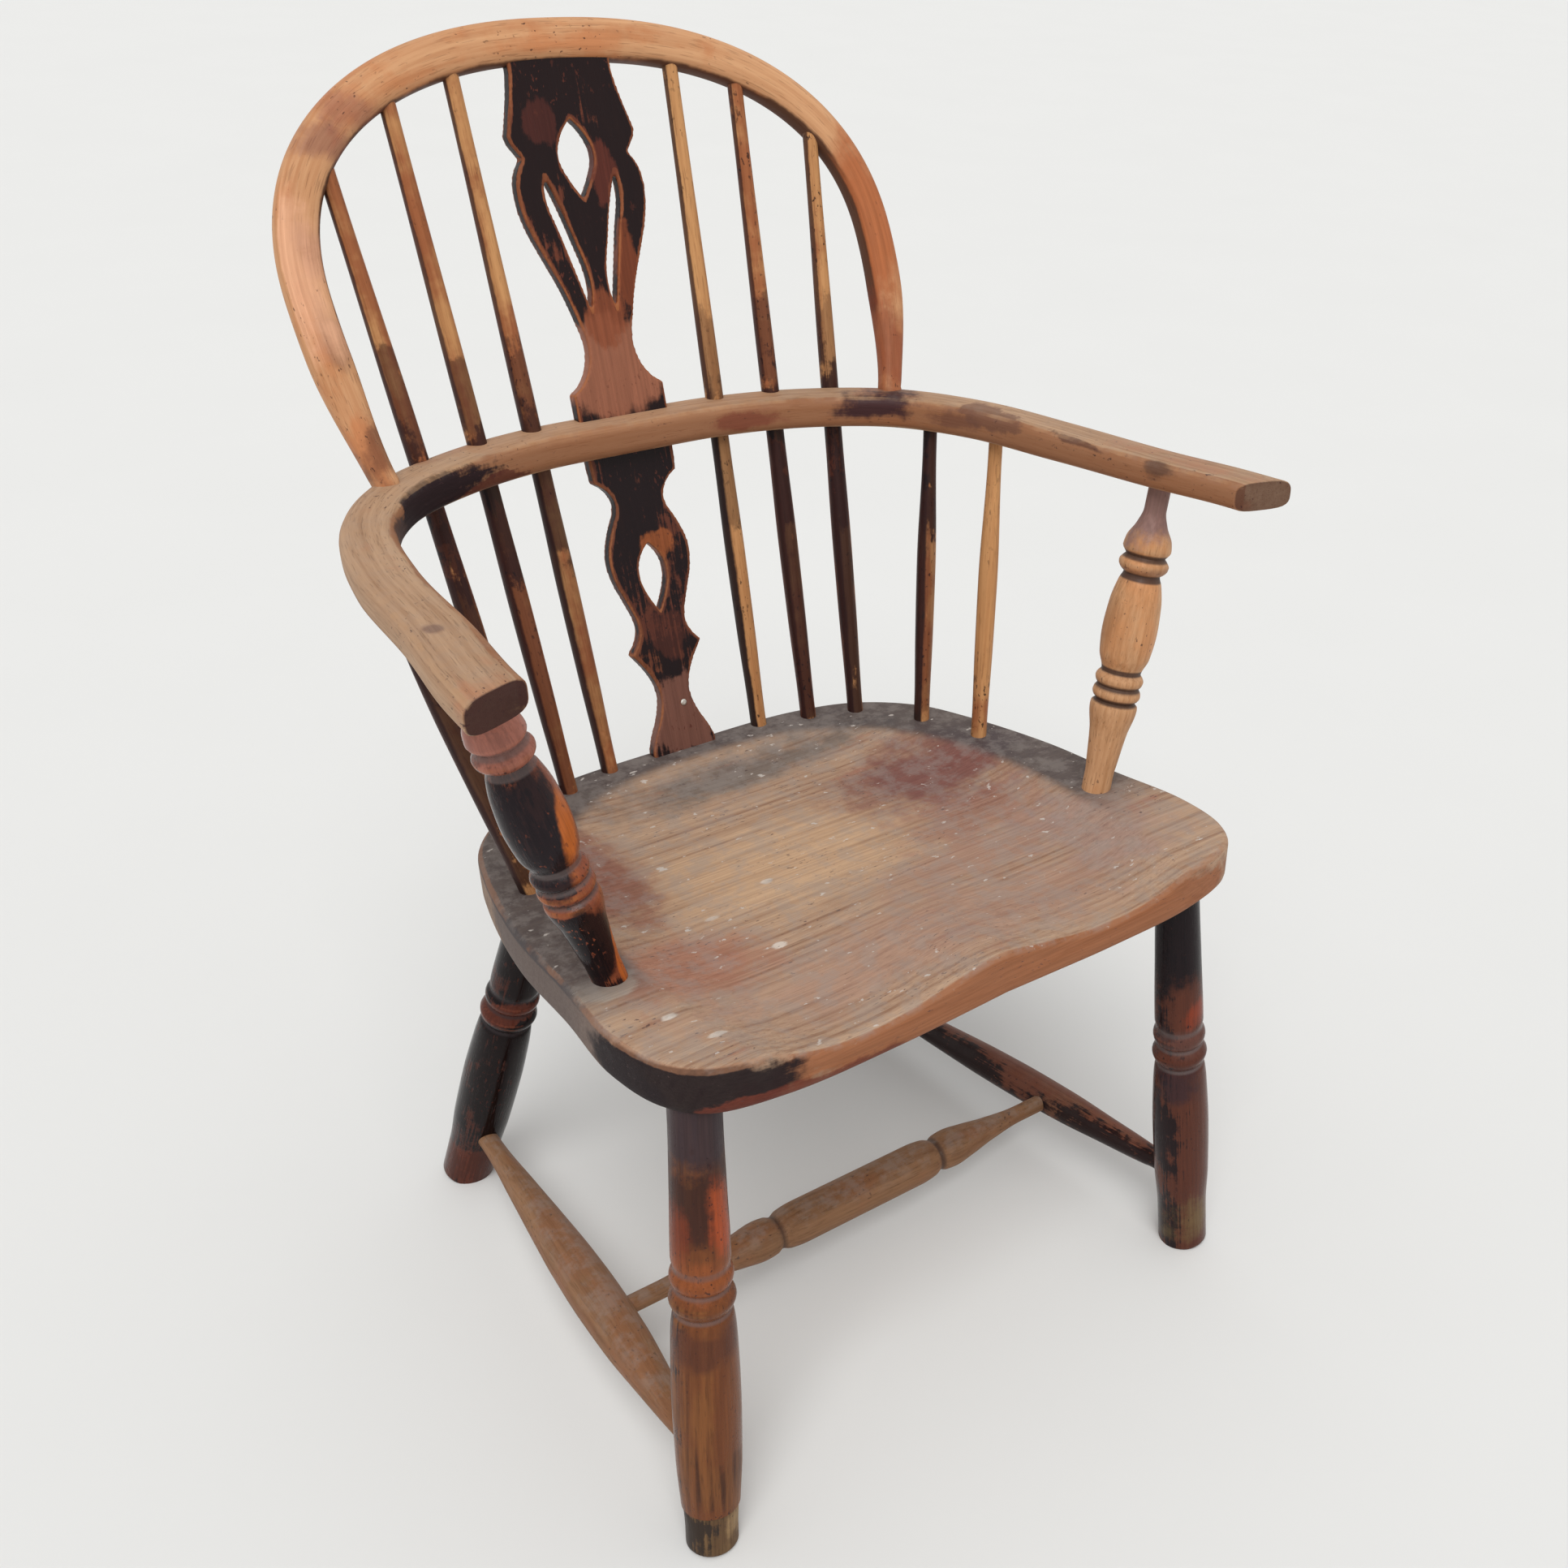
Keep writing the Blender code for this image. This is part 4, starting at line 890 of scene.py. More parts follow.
@dataclass
class Seat:
    """Saddled seat board.

    Attributes:
        thickness: Thickness of the board.
        off_centre: Shift of its middle to the right.
        skew: Turn of its middle line.
        back_y: Back of the board, on its own plane.
        front_y: Front of the board.
        round_top: Rounding of the upper rim.
        under_chamfer: Rounding of the lower rim.
        dish_half: Half width and half depth of the dish.
        dish_y: Middle of the dish.
        dish_squareness: Sharpness of its corners.
        dish_depth: Its depth.
        thigh: Place from the middle, half width and depth of the hollows at the front edge.
        front_from: Where the front's hollows begin.
        pommel: Width of the ridge between them.
        outline_count: Points of the outline.
        top_rings: Rings of the top face.
    """

    thickness: float = 0.037
    off_centre: float = 0.003
    skew: float = -0.035
    back_y: float = 0.168
    front_y: float = -0.235
    round_top: float = 0.006
    under_chamfer: float = 0.008
    dish_half: tuple[float, float] = (0.200, 0.240)
    dish_y: float = -0.100
    dish_squareness: float = 2.6
    dish_depth: float = 0.009
    thigh: tuple[float, float, float] = (0.115, 0.060, 0.0032)
    front_from: float = -0.060
    pommel: float = 0.042
    outline_count: int = 288
    top_rings: int = 56

    def outline(self) -> list[Vector]:
        """Closed outline, starting at the middle of the back.

        Returns:
            Its points, on the board's plane.
        """
        half = [
            (0.0, self.back_y), (0.1056, self.back_y - 0.004), (0.1624, self.back_y - 0.021),
            (0.203, self.back_y - 0.057), (0.222, self.back_y - 0.100), (0.242, self.back_y - 0.180),
            (0.249, -0.085), (0.257, -0.150), (0.250, -0.196), (0.231, self.front_y + 0.014),
            (0.180, self.front_y), (0.098, self.front_y - 0.003), (0.040, self.front_y - 0.0015),
            (0.0, self.front_y),
        ]
        right = curve_through([Vector((x, y, 0)) for x, y in half], self.outline_count // 2 + 1)
        both = right + [Vector((-p.x, p.y, 0)) for p in right[-2:0:-1]]
        return [Vector((p.x + self.off_centre + self.skew * p.y, p.y, 0)) for p in both]

    def saddle(self, x: float, y: float) -> tuple[float, float]:
        """Form of the top face at a point.

        Args:
            x: Place from left to right.
            y: Place from front to back.

        Returns:
            Its height, and how far out in the dish it lies, 1 being the dish's rim.
        """
        across = abs(x - self.off_centre / 2) / self.dish_half[0]
        deep = abs(y - self.dish_y) / self.dish_half[1]
        power = self.dish_squareness
        reach = (across**power + deep**power) ** (1 / power)
        inside = min(1.0, max(0.0, (1.0 - reach) / 0.30))
        front = ease((self.front_from - y) / (self.front_from - self.front_y))
        thigh_x, thigh_width, thigh_depth = self.thigh
        sides = abs(abs(x) - thigh_x) / thigh_width
        hollow = thigh_depth * front * max(0.0, 1 - sides * sides)
        pommel = front * 2.718 ** (-((x / self.pommel) ** 2))
        return -(self.dish_depth * inside * (2 - inside) + hollow) * (1 - pommel), reach

    def margin(self, point: Vector) -> float:
        """How dark and dusty a point of the margin is.

        Args:
            point: The point, on the board's plane.

        Returns:
            The darkness, 0 to 1.
        """
        reach = self.saddle(point.x, point.y)[1]
        outside = ease((reach - 0.955) / 0.06)
        back = ease((point.y + 0.15) / 0.07)
        side_wall = 1.0 if point.z < -self.round_top else 0.0
        return outside * back * (1 - 0.5 * side_wall)

    def add_ring(self, skin: Skin, spots: list[Vector], rim: float) -> None:
        """Add a ring of the board to its skin.

        Args:
            skin: The skin.
            spots: Points of the ring, on the board's plane.
            rim: Rim value of all of them.
        """
        grain = [(p.y, p.z, p.x) for p in spots]
        margin = [self.margin(p) for p in spots]
        skin.add_ring([RAISED @ p for p in spots], grain, margin, [rim] * len(spots))

    def build(self) -> bpy.types.Object:
        """Make the board.

        Returns:
            The board.
        """
        outline = self.outline()
        count = len(outline)
        normals = []
        for i in range(count):
            tangent = outline[(i + 1) % count] - outline[i - 1]
            normals.append(Vector((-tangent.y, tangent.x, 0)).normalized())
        centre = Vector((self.off_centre, -0.03, 0))
        if normals[0].y < 0:
            normals = [-n for n in normals]
        inset = [p - n * self.round_top for p, n in zip(outline, normals)]
        skin = Skin()
        for ring in range(1, self.top_rings + 1):
            flat = [centre.lerp(p, ring / self.top_rings) for p in inset]
            self.add_ring(skin, [Vector((p.x, p.y, self.saddle(p.x, p.y)[0])) for p in flat], 0.0)
        heights = [self.saddle(p.x, p.y)[0] for p in inset]
        for k in range(1, 7):
            a = pi / 2 * k / 6
            out, down = self.round_top * sin(a), self.round_top * (1 - cos(a))
            spots = [p + n * out for p, n in zip(inset, normals)]
            self.add_ring(skin, [Vector((p.x, p.y, h - down)) for p, h in zip(spots, heights)], sin(2 * a))
        low = self.under_chamfer - self.thickness
        for share in (0.25, 0.5, 0.75):
            wall = [(h - self.round_top) * (1 - share) + low * share for h in heights]
            self.add_ring(skin, [Vector((p.x, p.y, z)) for p, z in zip(outline, wall)], 0.0)
        for k in range(0, 5):
            a = pi / 2 * k / 4
            inwards, down = self.under_chamfer * (1 - cos(a)), self.under_chamfer * sin(a)
            spots = [p - n * inwards for p, n in zip(outline, normals)]
            self.add_ring(skin, [Vector((p.x, p.y, low - down)) for p in spots], 0.3)
        return skin.build("seat_board")


@dataclass
class ArmBow:
    """Bent arm bow.

    Attributes:
        top: Height of its top face above the seat.
        left_spread: How much further out the left arm reaches.
        stations: Number of sections.
        end_round: Where the rounding of an end starts, as a share of a section's length.
        end_dirt: How dark the left and the right end are.
        widths: Pairs of a share of the way to a tip and the bow's width there.
        thicknesses: The same for its thickness.
        squareness: Sharpness of its section's corners.
        facets: Points of a section.
        slant: How far the end faces slant.
    """

    top: float = 0.2564
    left_spread: float = 0.015
    stations: int = 181
    end_round: float = 0.18
    end_dirt: tuple[float, float] = (1.0, 0.75)
    widths: tuple[tuple[float, float], ...] = ((0, 0.036), (0.45, 0.034), (0.70, 0.038), (1, 0.042))
    thicknesses: tuple[tuple[float, float], ...] = ((0, 0.026), (0.45, 0.026), (1, 0.021))
    squareness: float = 3.6
    facets: int = 40
    slant: float = 0.010

    def half(self, spread: float) -> list[Vector]:
        """Centreline of one half, from the middle of the back to the tip.

        Args:
            spread: How much further out than the right half it reaches.

        Returns:
            Its points, on the right-hand side.
        """
        knots = [
            (0.0, 0.206), (0.07995, 0.203), (0.14555, 0.185), (0.205 + spread * 0.1, 0.147 + spread * 0.2),
            (0.241 + spread * 0.5, 0.085 + spread * 0.6), (0.257 + spread, spread),
            (0.270 + spread, -0.092 + spread * 0.6), (0.282 + spread * 0.9, -0.145),
            (0.287 + spread * 0.8, -0.177),
        ]
        return curve_through([Vector((x, y, 0)) for x, y in knots], self.stations // 2 + 1)

    def build(self) -> bpy.types.Object:
        """Make the bow.

        Returns:
            The bow.
        """
        right = self.half(0.0)
        left = [Vector((-p.x, p.y, 0)) for p in self.half(self.left_spread)]
        line = left[:0:-1] + right
        middle = (len(line) - 1) / 2
        shares = [abs(i - middle) / middle for i in range(len(line))]
        first, last = line[0].lerp(line[1], self.end_round), line[-1].lerp(line[-2], self.end_round)
        line = [line[0], first, *line[1:-1], last, line[-1]]
        shares = [1.0, 1.0, *shares[1:-1], 1.0, 1.0]
        tip_width = self.widths[-1][1]
        skin = Skin()
        run = 0.0
        for i, point in enumerate(line):
            before, after = line[max(i - 1, 0)], line[min(i + 1, len(line) - 1)]
            tangent = (after - before).normalized()
            outward = Vector((-tangent.y, tangent.x, 0))
            run += (point - line[i - 1]).length if i else 0.0
            share = shares[i]
            half_thickness = blend(self.thicknesses, share) / 2
            at_end = i in (0, len(line) - 1)
            inset = 0.95 if at_end else 1.0
            lean = ease((share - 0.90) / 0.10) * (1 if i > middle else -1)
            half_width = blend(self.widths, share) / 2
            section = rounded_section(half_width, half_thickness, self.squareness, self.facets)
            ring = []
            for across, deep, _ in section:
                slant = lean * across / tip_width * self.slant * 2
                spot = point + outward * across * inset + tangent * slant
                ring.append(RAISED @ Vector((spot.x, spot.y, self.top - half_thickness + deep * inset)))
            grain = [(across, deep, run) for across, deep, _ in section]
            dirt = self.end_dirt[i > middle] if at_end else 0.0
            skin.add_ring(ring, grain, [dirt] * len(ring), [corner for _, _, corner in section])
        return skin.build("arm_bow_bent")


@dataclass
class Hoop:
    """Bent hoop of the back.

    Attributes:
        rake: How far it leans back.
        foot: Where its feet meet the arm bow.
        shoulder: Half its greatest width.
        shoulder_rise: Height of its widest place above the arm bow.
        rise: Height of its crown.
        face: Width of its face.
        depth: Its thickness.
        foot_size: Width and thickness of its feet.
        taper: Height over which a foot grows to full size.
        arm_top: Height of the arm bow's top.
        sink: How far its feet go into the arm bow.
        left_share: Width of the left half against its plan.
        right_share: Width of the right half against its plan.
        squareness: Fullness of its shoulders.
        facets: Points of a section.
    """

    rake: float = radians(23.5)
    foot: tuple[float, float] = (0.209, 0.157)
    shoulder: float = 0.227
    shoulder_rise: float = 0.112
    rise: float = 0.264
    face: float = 0.0275
    depth: float = 0.021
    foot_size: float = 0.017
    taper: float = 0.080
    arm_top: float = 0.2564
    sink: float = 0.007
    left_share: float = 0.970
    right_share: float = 1.010
    squareness: float = 2.3
    facets: int = 36

    def half(self, side: int) -> list[tuple[float, float]]:
        """Centreline of one half, foot to crown.

        Args:
            side: -1 for the left, 1 for the right.

        Returns:
            Pairs of x and rise.
        """
        shoulder = self.shoulder * (self.left_share if side < 0 else self.right_share)
        top = self.rise - self.shoulder_rise
        power = self.squareness
        line = []
        for i in range(24):
            swell = sin(pi / 2 * (i / 24) ** 0.9)
            x = side * (self.foot[0] + (shoulder - self.foot[0]) * swell)
            line.append((x, self.shoulder_rise * i / 24))
        for i in range(61):
            a = pi / 2 * i / 60
            c, s = max(cos(a), 0.0), sin(a)
            reach = (c**power + s**power) ** (-1 / power)
            line.append((side * shoulder * reach * c, self.shoulder_rise + top * reach * s))
        return line

    def build(self) -> bpy.types.Object:
        """Make the hoop.

        Returns:
            The hoop.
        """
        left, right = self.half(-1), self.half(1)
        line = [(left[0][0], -self.sink), *left, *right[-2::-1], (right[0][0], -self.sink)]
        outwards = Vector((0, cos(self.rake), -sin(self.rake)))
        skin = Skin()
        run = 0.0
        for i, (x, rise) in enumerate(line):
            before, after = line[max(i - 1, 0)], line[min(i + 1, len(line) - 1)]
            dx, dr = after[0] - before[0], after[1] - before[1]
            length = hypot(dx, dr)
            run += hypot(x - line[i - 1][0], rise - line[i - 1][1]) if i else 0.0
            taper = min(1.0, max(0.0, rise) / self.taper)
            face = blend([(0, self.foot_size), (1, self.face)], taper)
            depth = blend([(0, self.foot_size), (1, self.depth)], taper)
            section = rounded_section(face / 2, depth / 2, 2.8, self.facets)
            ring = []
            for across, deep, _ in section:
                u, v = x - dr / length * across, rise + dx / length * across
                v = max(v, -self.sink)
                spot = Vector((u, self.foot[1] + v * sin(self.rake), self.arm_top + v * cos(self.rake)))
                ring.append(RAISED @ (spot + outwards * deep))
            grain = [(across, deep, run) for across, deep, _ in section]
            skin.add_ring(ring, grain, [0.0] * len(ring), [corner for _, _, corner in section])
        return skin.build("hoop_bent")


@dataclass
class Splat:
    """Pierced splat made fine from its own solid, with rubbed rims.

    Attributes:
        node: Name of the node.
        voxel: Size of its fine facets.
        rub: How far the rubbed rim reaches in.
    """

    node: str
    voxel: float = 0.0011
    rub: float = 0.0032

    def build(self) -> bpy.types.Object:
        """Make the fine piece over the node.

        Returns:
            The piece.
        """
        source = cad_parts[self.node]
        copy = bpy.data.objects.new(self.node + "_source", source.data.copy())
        bpy.context.scene.collection.objects.link(copy)
        remesh = copy.modifiers.new("fine", "REMESH")
        remesh.mode = "VOXEL"
        remesh.voxel_size = self.voxel
        soften = copy.modifiers.new("soften", "SMOOTH")
        soften.iterations = 3
        soften.factor = 0.5
        bpy.context.view_layer.update()
        evaluated = copy.evaluated_get(bpy.context.evaluated_depsgraph_get())
        mesh = bpy.data.meshes.new_from_object(evaluated)
        points = [v.co.copy() for v in mesh.vertices]
        faces = [tuple(p.vertices) for p in mesh.polygons]
        rims = self.rims(source.data)
        tree = KDTree(len(rims))
        for i, rim in enumerate(rims):
            tree.insert(rim, i)
        tree.balance()
        edge = [max(0.0, 1 - tree.find(p)[2] / self.rub) for p in points]
        inverse = RAISED.inverted()
        local = [inverse @ p for p in points]
        grain = [(p.x, p.y - 0.2 * p.z, p.z) for p in local]
        bpy.data.objects.remove(copy, do_unlink=True)
        paint = {"grain": grain, "hollow": [0.0] * len(points), "edge": edge}
        return make_object(self.node + "_board", points, faces, paint, Smooth.ALL)

    @staticmethod
    def rims(mesh: bpy.types.Mesh) -> list[Vector]:
        """Find the sharp edges of the board.

        Args:
            mesh: Mesh of the solid.

        Returns:
            Points along them.
        """
        uses: dict[tuple, list] = {}
        for polygon in mesh.polygons:
            corners = [tuple(round(c, 5) for c in mesh.vertices[i].co) for i in polygon.vertices]
            for a, b in zip(corners, corners[1:] + corners[:1]):
                uses.setdefault(tuple(sorted((a, b))), []).append(polygon.normal.copy())
        spots = []
        for (a, b), normals in uses.items():
            if len(normals) == 2 and normals[0].angle(normals[1]) > SHARP_ANGLE:
                a, b = Vector(a), Vector(b)
                pieces = max(1, int((b - a).length / RIM_SPACING))
                spots += [a.lerp(b, k / pieces) for k in range(pieces + 1)]
        return spots


@dataclass(frozen=True)
class StickWearAndShade:
    """Wear, stain and painted shade of one stick, each value from 0 to 1.

    Attributes:
        honey: How much is worn to light wood.
        under_arm: How black it is just below the arm bow.
        rust: How rusty and black it is further down.
        side: How black its left side is, from remains of stain and painted shade.
    """

    honey: float
    under_arm: float
    rust: float
    side: float


class Finishes:
    """Finishes of the chair's pieces, as the photograph shows them."""

    def hoop(self) -> WornWood:
        """Honey hoop with purple-brown stain marks on its left, painted light on the front of its left limb,
        and a dark inner face.

        Returns:
            The finish.
        """
        front = (0.0, -0.95, 0.30)
        colour_patches = (
            Patch((-0.150, 0.238, 0.862), (0.030, 0.04, 0.012), rgb(128, 76, 66), 0.50, 1.8, None, 0.5),
            Patch((-0.180, 0.231, 0.846), (0.024, 0.04, 0.013), rgb(112, 66, 62), 0.55, 1.8, None, 0.5),
            Patch((-0.209, 0.205, 0.788), (0.013, 0.03, 0.022), rgb(122, 74, 62), 0.50, 1.8, None, 0.5),
            Patch((-0.212, 0.185, 0.735), (0.011, 0.03, 0.034), rgb(92, 58, 46), 0.50, 2.0, None, 0.4),
            Patch((-0.205, 0.155, 0.676), (0.016, 0.03, 0.026), rgb(84, 46, 36), 0.65, 2.0, None, 0.4),
            Patch((0.218, 0.155, 0.685), (0.03, 0.06, 0.060), rgb(122, 60, 40), 0.75, 1.4, None, 0.4),
            Patch((0.226, 0.190, 0.775), (0.04, 0.06, 0.090), rgb(156, 90, 54), 0.95, 1.0, front, 0.4),
            # Pale patch on the front of the left limb: painted light where the lamp falls on it.
            Patch((-0.222, 0.20, 0.78), (0.030, 0.06, 0.085), rgb(226, 172, 140), 0.50, 1.4, front, 0.5),
        )
        return WornWood(
            "hoop_wood", rgb(208, 158, 116), rgb(172, 114, 74), rgb(174, 112, 72), rgb(46, 26, 24),
            varnish_cover=0.36, stain_cover=0.0, keeps_more=0.0, figure=0.12, figure_pitch=140,
            edge_wear=0.05, flecks=0.10, dust=0.05, seed=1.3, patches=colour_patches,
            inner=rgb(58, 30, 25), inner_at=0.0112, inner_cover=0.88,
        )

    def arm(self) -> WornWood:
        """Arm bow with a grey-tan top, an orange-brown inner face and dark patches at the back.

        Returns:
            The finish.
        """
        dark, up = rgb(34, 20, 23), (0.0, 0.0, 1.0)
        colour_patches = (
            Patch((-0.178, 0.130, 0.643), (0.066, 0.058, 0.017), dark, 1.0, 1.3, (0.5, -0.85, 0.0)),
            Patch((-0.115, 0.160, 0.632), (0.045, 0.025, 0.008), rgb(84, 42, 32), 0.85, 2.2),
            Patch((-0.225, 0.070, 0.642), (0.022, 0.050, 0.014), rgb(62, 44, 40), 0.9, 1.2, (0.8, -0.4, 0.0)),
            Patch((0.096, 0.175, 0.642), (0.035, 0.020, 0.009), rgb(112, 56, 42), 0.75, 1.8, None, 0.4),
            Patch((0.190, 0.134, 0.650), (0.044, 0.038, 0.014), rgb(50, 28, 33), 0.95, 1.9, None, 0.4),
            Patch((0.226, 0.078, 0.648), (0.018, 0.040, 0.009), rgb(92, 58, 48), 0.65, 2.4, None, 0.5),
            Patch((0.236, 0.050, 0.658), (0.016, 0.030, 0.012), rgb(100, 68, 56), 0.7, 1.8),
            Patch((0.249, -0.040, 0.660), (0.004, 0.030, 0.008), rgb(72, 46, 38), 0.7, 1.6, up),
            Patch((0.258, -0.115, 0.664), (0.008, 0.016, 0.012), rgb(66, 48, 42), 0.7, 1.8, None, 0.4),
            Patch((-0.284, -0.096, 0.667), (0.007, 0.008, 0.008), rgb(108, 80, 68), 0.75, 1.4, None, 0.4),
            Patch((0.0, 0.190, 0.650), (0.14, 0.03, 0.03), rgb(160, 116, 84), 0.4, 1.4, up),
        )
        return WornWood(
            "arm_wood", rgb(184, 150, 120), rgb(142, 106, 78), rgb(156, 108, 78), rgb(52, 32, 32),
            varnish_cover=0.26, stain_cover=0.0, keeps=(0.0, 0.0, -1.0), keeps_more=0.10,
            hollow_colour=rgb(56, 28, 26), hollow_cover=0.95, figure=0.16, figure_pitch=130,
            edge_wear=0.10, flecks=0.12, dust=0.10, seed=2.1, patches=colour_patches,
            inner=rgb(140, 88, 56), inner_at=0.0130, inner_cover=0.75,
            rim_colour=rgb(190, 150, 112), rim_wear=0.35,
        )

    def upper_splat(self) -> WornWood:
        """Near-black splat with red-brown wear and a rose-brown foot.

        Returns:
            The finish.
        """
        wear = (
            Patch((0.0, 0.20, 0.688), (0.045, 0.05, 0.036), rgb(142, 90, 68), 0.92, 0.7),
            Patch((0.004, 0.20, 0.722), (0.018, 0.05, 0.020), rgb(124, 66, 42), 0.8, 1.2),
            Patch((0.028, 0.22, 0.752), (0.010, 0.04, 0.030), rgb(120, 62, 38), 0.75, 1.3),
            Patch((0.020, 0.237, 0.815), (0.012, 0.04, 0.018), rgb(92, 44, 34), 0.7, 1.5),
            Patch((-0.020, 0.24, 0.845), (0.012, 0.04, 0.015), rgb(78, 38, 32), 0.6, 1.6),
        )
        return WornWood(
            "upper_splat_wood", rgb(142, 84, 54), rgb(96, 50, 32), rgb(84, 42, 32), rgb(22, 15, 18),
            varnish_cover=0.80, stain_cover=0.70, keeps=(0, 0, 1), keeps_more=0.0,
            figure=0.2, edge_wear=0.30, flecks=0.35, dust=0.0, seed=3.7, patches=wear, rough=0.52,
            rim_colour=rgb(158, 96, 58), rim_wear=0.85,
        )

    def lower_splat(self) -> WornWood:
        """Near-black splat, browner at its foot.

        Returns:
            The finish.
        """
        wear = (
            Patch((0.004, 0.14, 0.425), (0.034, 0.05, 0.034), rgb(114, 76, 64), 0.85, 1.6),
            Patch((0.012, 0.17, 0.560), (0.016, 0.05, 0.012), rgb(140, 78, 44), 0.8, 1.3),
            Patch((0.006, 0.155, 0.490), (0.016, 0.05, 0.020), rgb(78, 42, 34), 0.6, 1.6),
        )
        return WornWood(
            "lower_splat_wood", rgb(128, 78, 54), rgb(92, 50, 36), rgb(78, 42, 34), rgb(22, 17, 21),
            varnish_cover=0.76, stain_cover=0.76, keeps=(0, 0, 1), keeps_more=0.0,
            figure=0.2, edge_wear=0.30, flecks=0.35, dust=0.0, seed=5.2, patches=wear, rough=0.55,
            rim_colour=rgb(150, 94, 60), rim_wear=0.85,
        )

    def stick(self, name: str, seed: float, wear: "StickWearAndShade") -> WornWood:
        """Stick that is black on one side, from remains of stain and painted shade, and worn on the other.

        Args:
            name: Name of the material.
            seed: Offset of its patterns.
            wear: How its finish has worn, and how much shade is painted on its left side.

        Returns:
            The finish.
        """
        black = rgb(24, 15, 19)
        marks = (
            # Black on faces turned left: remains of stain, with painted shade on the shaded side.
            Patch((0, 0.12, 0.500), (0.5, 0.35, 0.170), black, 0.96 * wear.side, 1.0, (-0.92, 0.25, 0.0)),
            Patch((0, 0.18, 0.612), (0.5, 0.35, 0.055), black, 0.94 * wear.under_arm, 2.0),
            Patch((0, 0.14, 0.510), (0.5, 0.35, 0.120), rgb(84, 42, 28), 0.85 * wear.rust, 1.8),
            Patch((0, 0.14, 0.500), (0.5, 0.35, 0.120), black, 0.85 * wear.rust, 2.4, (-0.5, -0.9, 0.0)),
            Patch((0, 0.21, 0.685), (0.5, 0.35, 0.034), rgb(66, 36, 28), 0.80 - wear.honey * 0.4, 2.0),
            # Dark on faces turned left and back above the arm bow: remains of stain, with painted shade.
            Patch((0, 0.22, 0.760), (0.5, 0.35, 0.130), rgb(52, 30, 28), 0.85, 1.3, (-0.98, 0.75, 0.0)),
        )
        return WornWood(
            name, rgb(200, 148, 98), rgb(152, 98, 58), rgb(132, 72, 44), rgb(22, 13, 16),
            varnish_cover=0.92 - wear.honey * 0.80, stain_cover=0.16 - wear.honey * 0.10,
            # Faces turned left and back keep more stain, which also paints shade on that side.
            keeps=(-0.80, 0.60, 0.0), keeps_more=0.06, figure=0.12, edge_wear=0.0, flecks=0.60, dust=0.0,
            seed=seed, patches=marks, rough=0.46,
        )

    def post(self, side: int) -> WornWood:
        """Arm post: black with orange wear and a painted highlight on the bell on the left, honey on the
        right.

        Args:
            side: -1 for the left, 1 for the right.

        Returns:
            The finish.
        """
        if side < 0:
            marks = (
                # Paler red-brown on the bell of the left post: red-brown wood with a painted highlight on its
                # gloss.
                Patch((-0.262, -0.112, 0.615), (0.04, 0.04, 0.040), rgb(154, 100, 86), 0.85, 1.0, None, 0.2),
                Patch((-0.255, -0.124, 0.535), (0.030, 0.026, 0.050), rgb(28, 20, 24), 0.96, 0.8),
                Patch((-0.225, -0.130, 0.445), (0.024, 0.022, 0.034), rgb(20, 12, 15), 0.96, 0.7),
                Patch((-0.231, -0.130, 0.548), (0.009, 0.016, 0.046), rgb(176, 94, 40), 0.90, 0.8, None, 0.15),
                Patch((-0.203, -0.124, 0.440), (0.006, 0.012, 0.036), rgb(176, 92, 38), 0.90, 0.7),
            )
            return WornWood(
                "post_left_wood", rgb(164, 96, 54), rgb(120, 66, 40), rgb(120, 62, 42), rgb(24, 16, 20),
                varnish_cover=0.80, stain_cover=0.34, keeps=(-0.8, -0.3, -0.2), keeps_more=0.14,
                hollow_colour=rgb(100, 88, 86), hollow_cover=0.62, figure=0.2, edge_wear=0.15, flecks=0.35,
                dust=0.05, seed=7.1, patches=marks, rough=0.36,
            )
        marks = (
            Patch((0.262, -0.110, 0.632), (0.03, 0.03, 0.036), rgb(116, 90, 88), 0.88, 1.2, None, 0.3),
            Patch((0.255, -0.120, 0.585), (0.03, 0.03, 0.008), rgb(118, 84, 68), 0.5, 1.4, None, 0.4),
            Patch((0.235, -0.106, 0.545), (0.008, 0.014, 0.020), rgb(140, 94, 60), 0.35, 1.8, None, 0.5),
        )
        return WornWood(
            "post_right_wood", rgb(204, 158, 118), rgb(160, 112, 72), rgb(180, 126, 84), rgb(50, 36, 36),
            varnish_cover=0.30, stain_cover=0.0, keeps=(-0.9, 0.2, -0.2), keeps_more=0.04,
            hollow_colour=rgb(62, 46, 42), hollow_cover=0.9, figure=0.22, edge_wear=0.05, flecks=0.10,
            dust=0.05, seed=8.4, patches=marks, rough=0.5,
        )

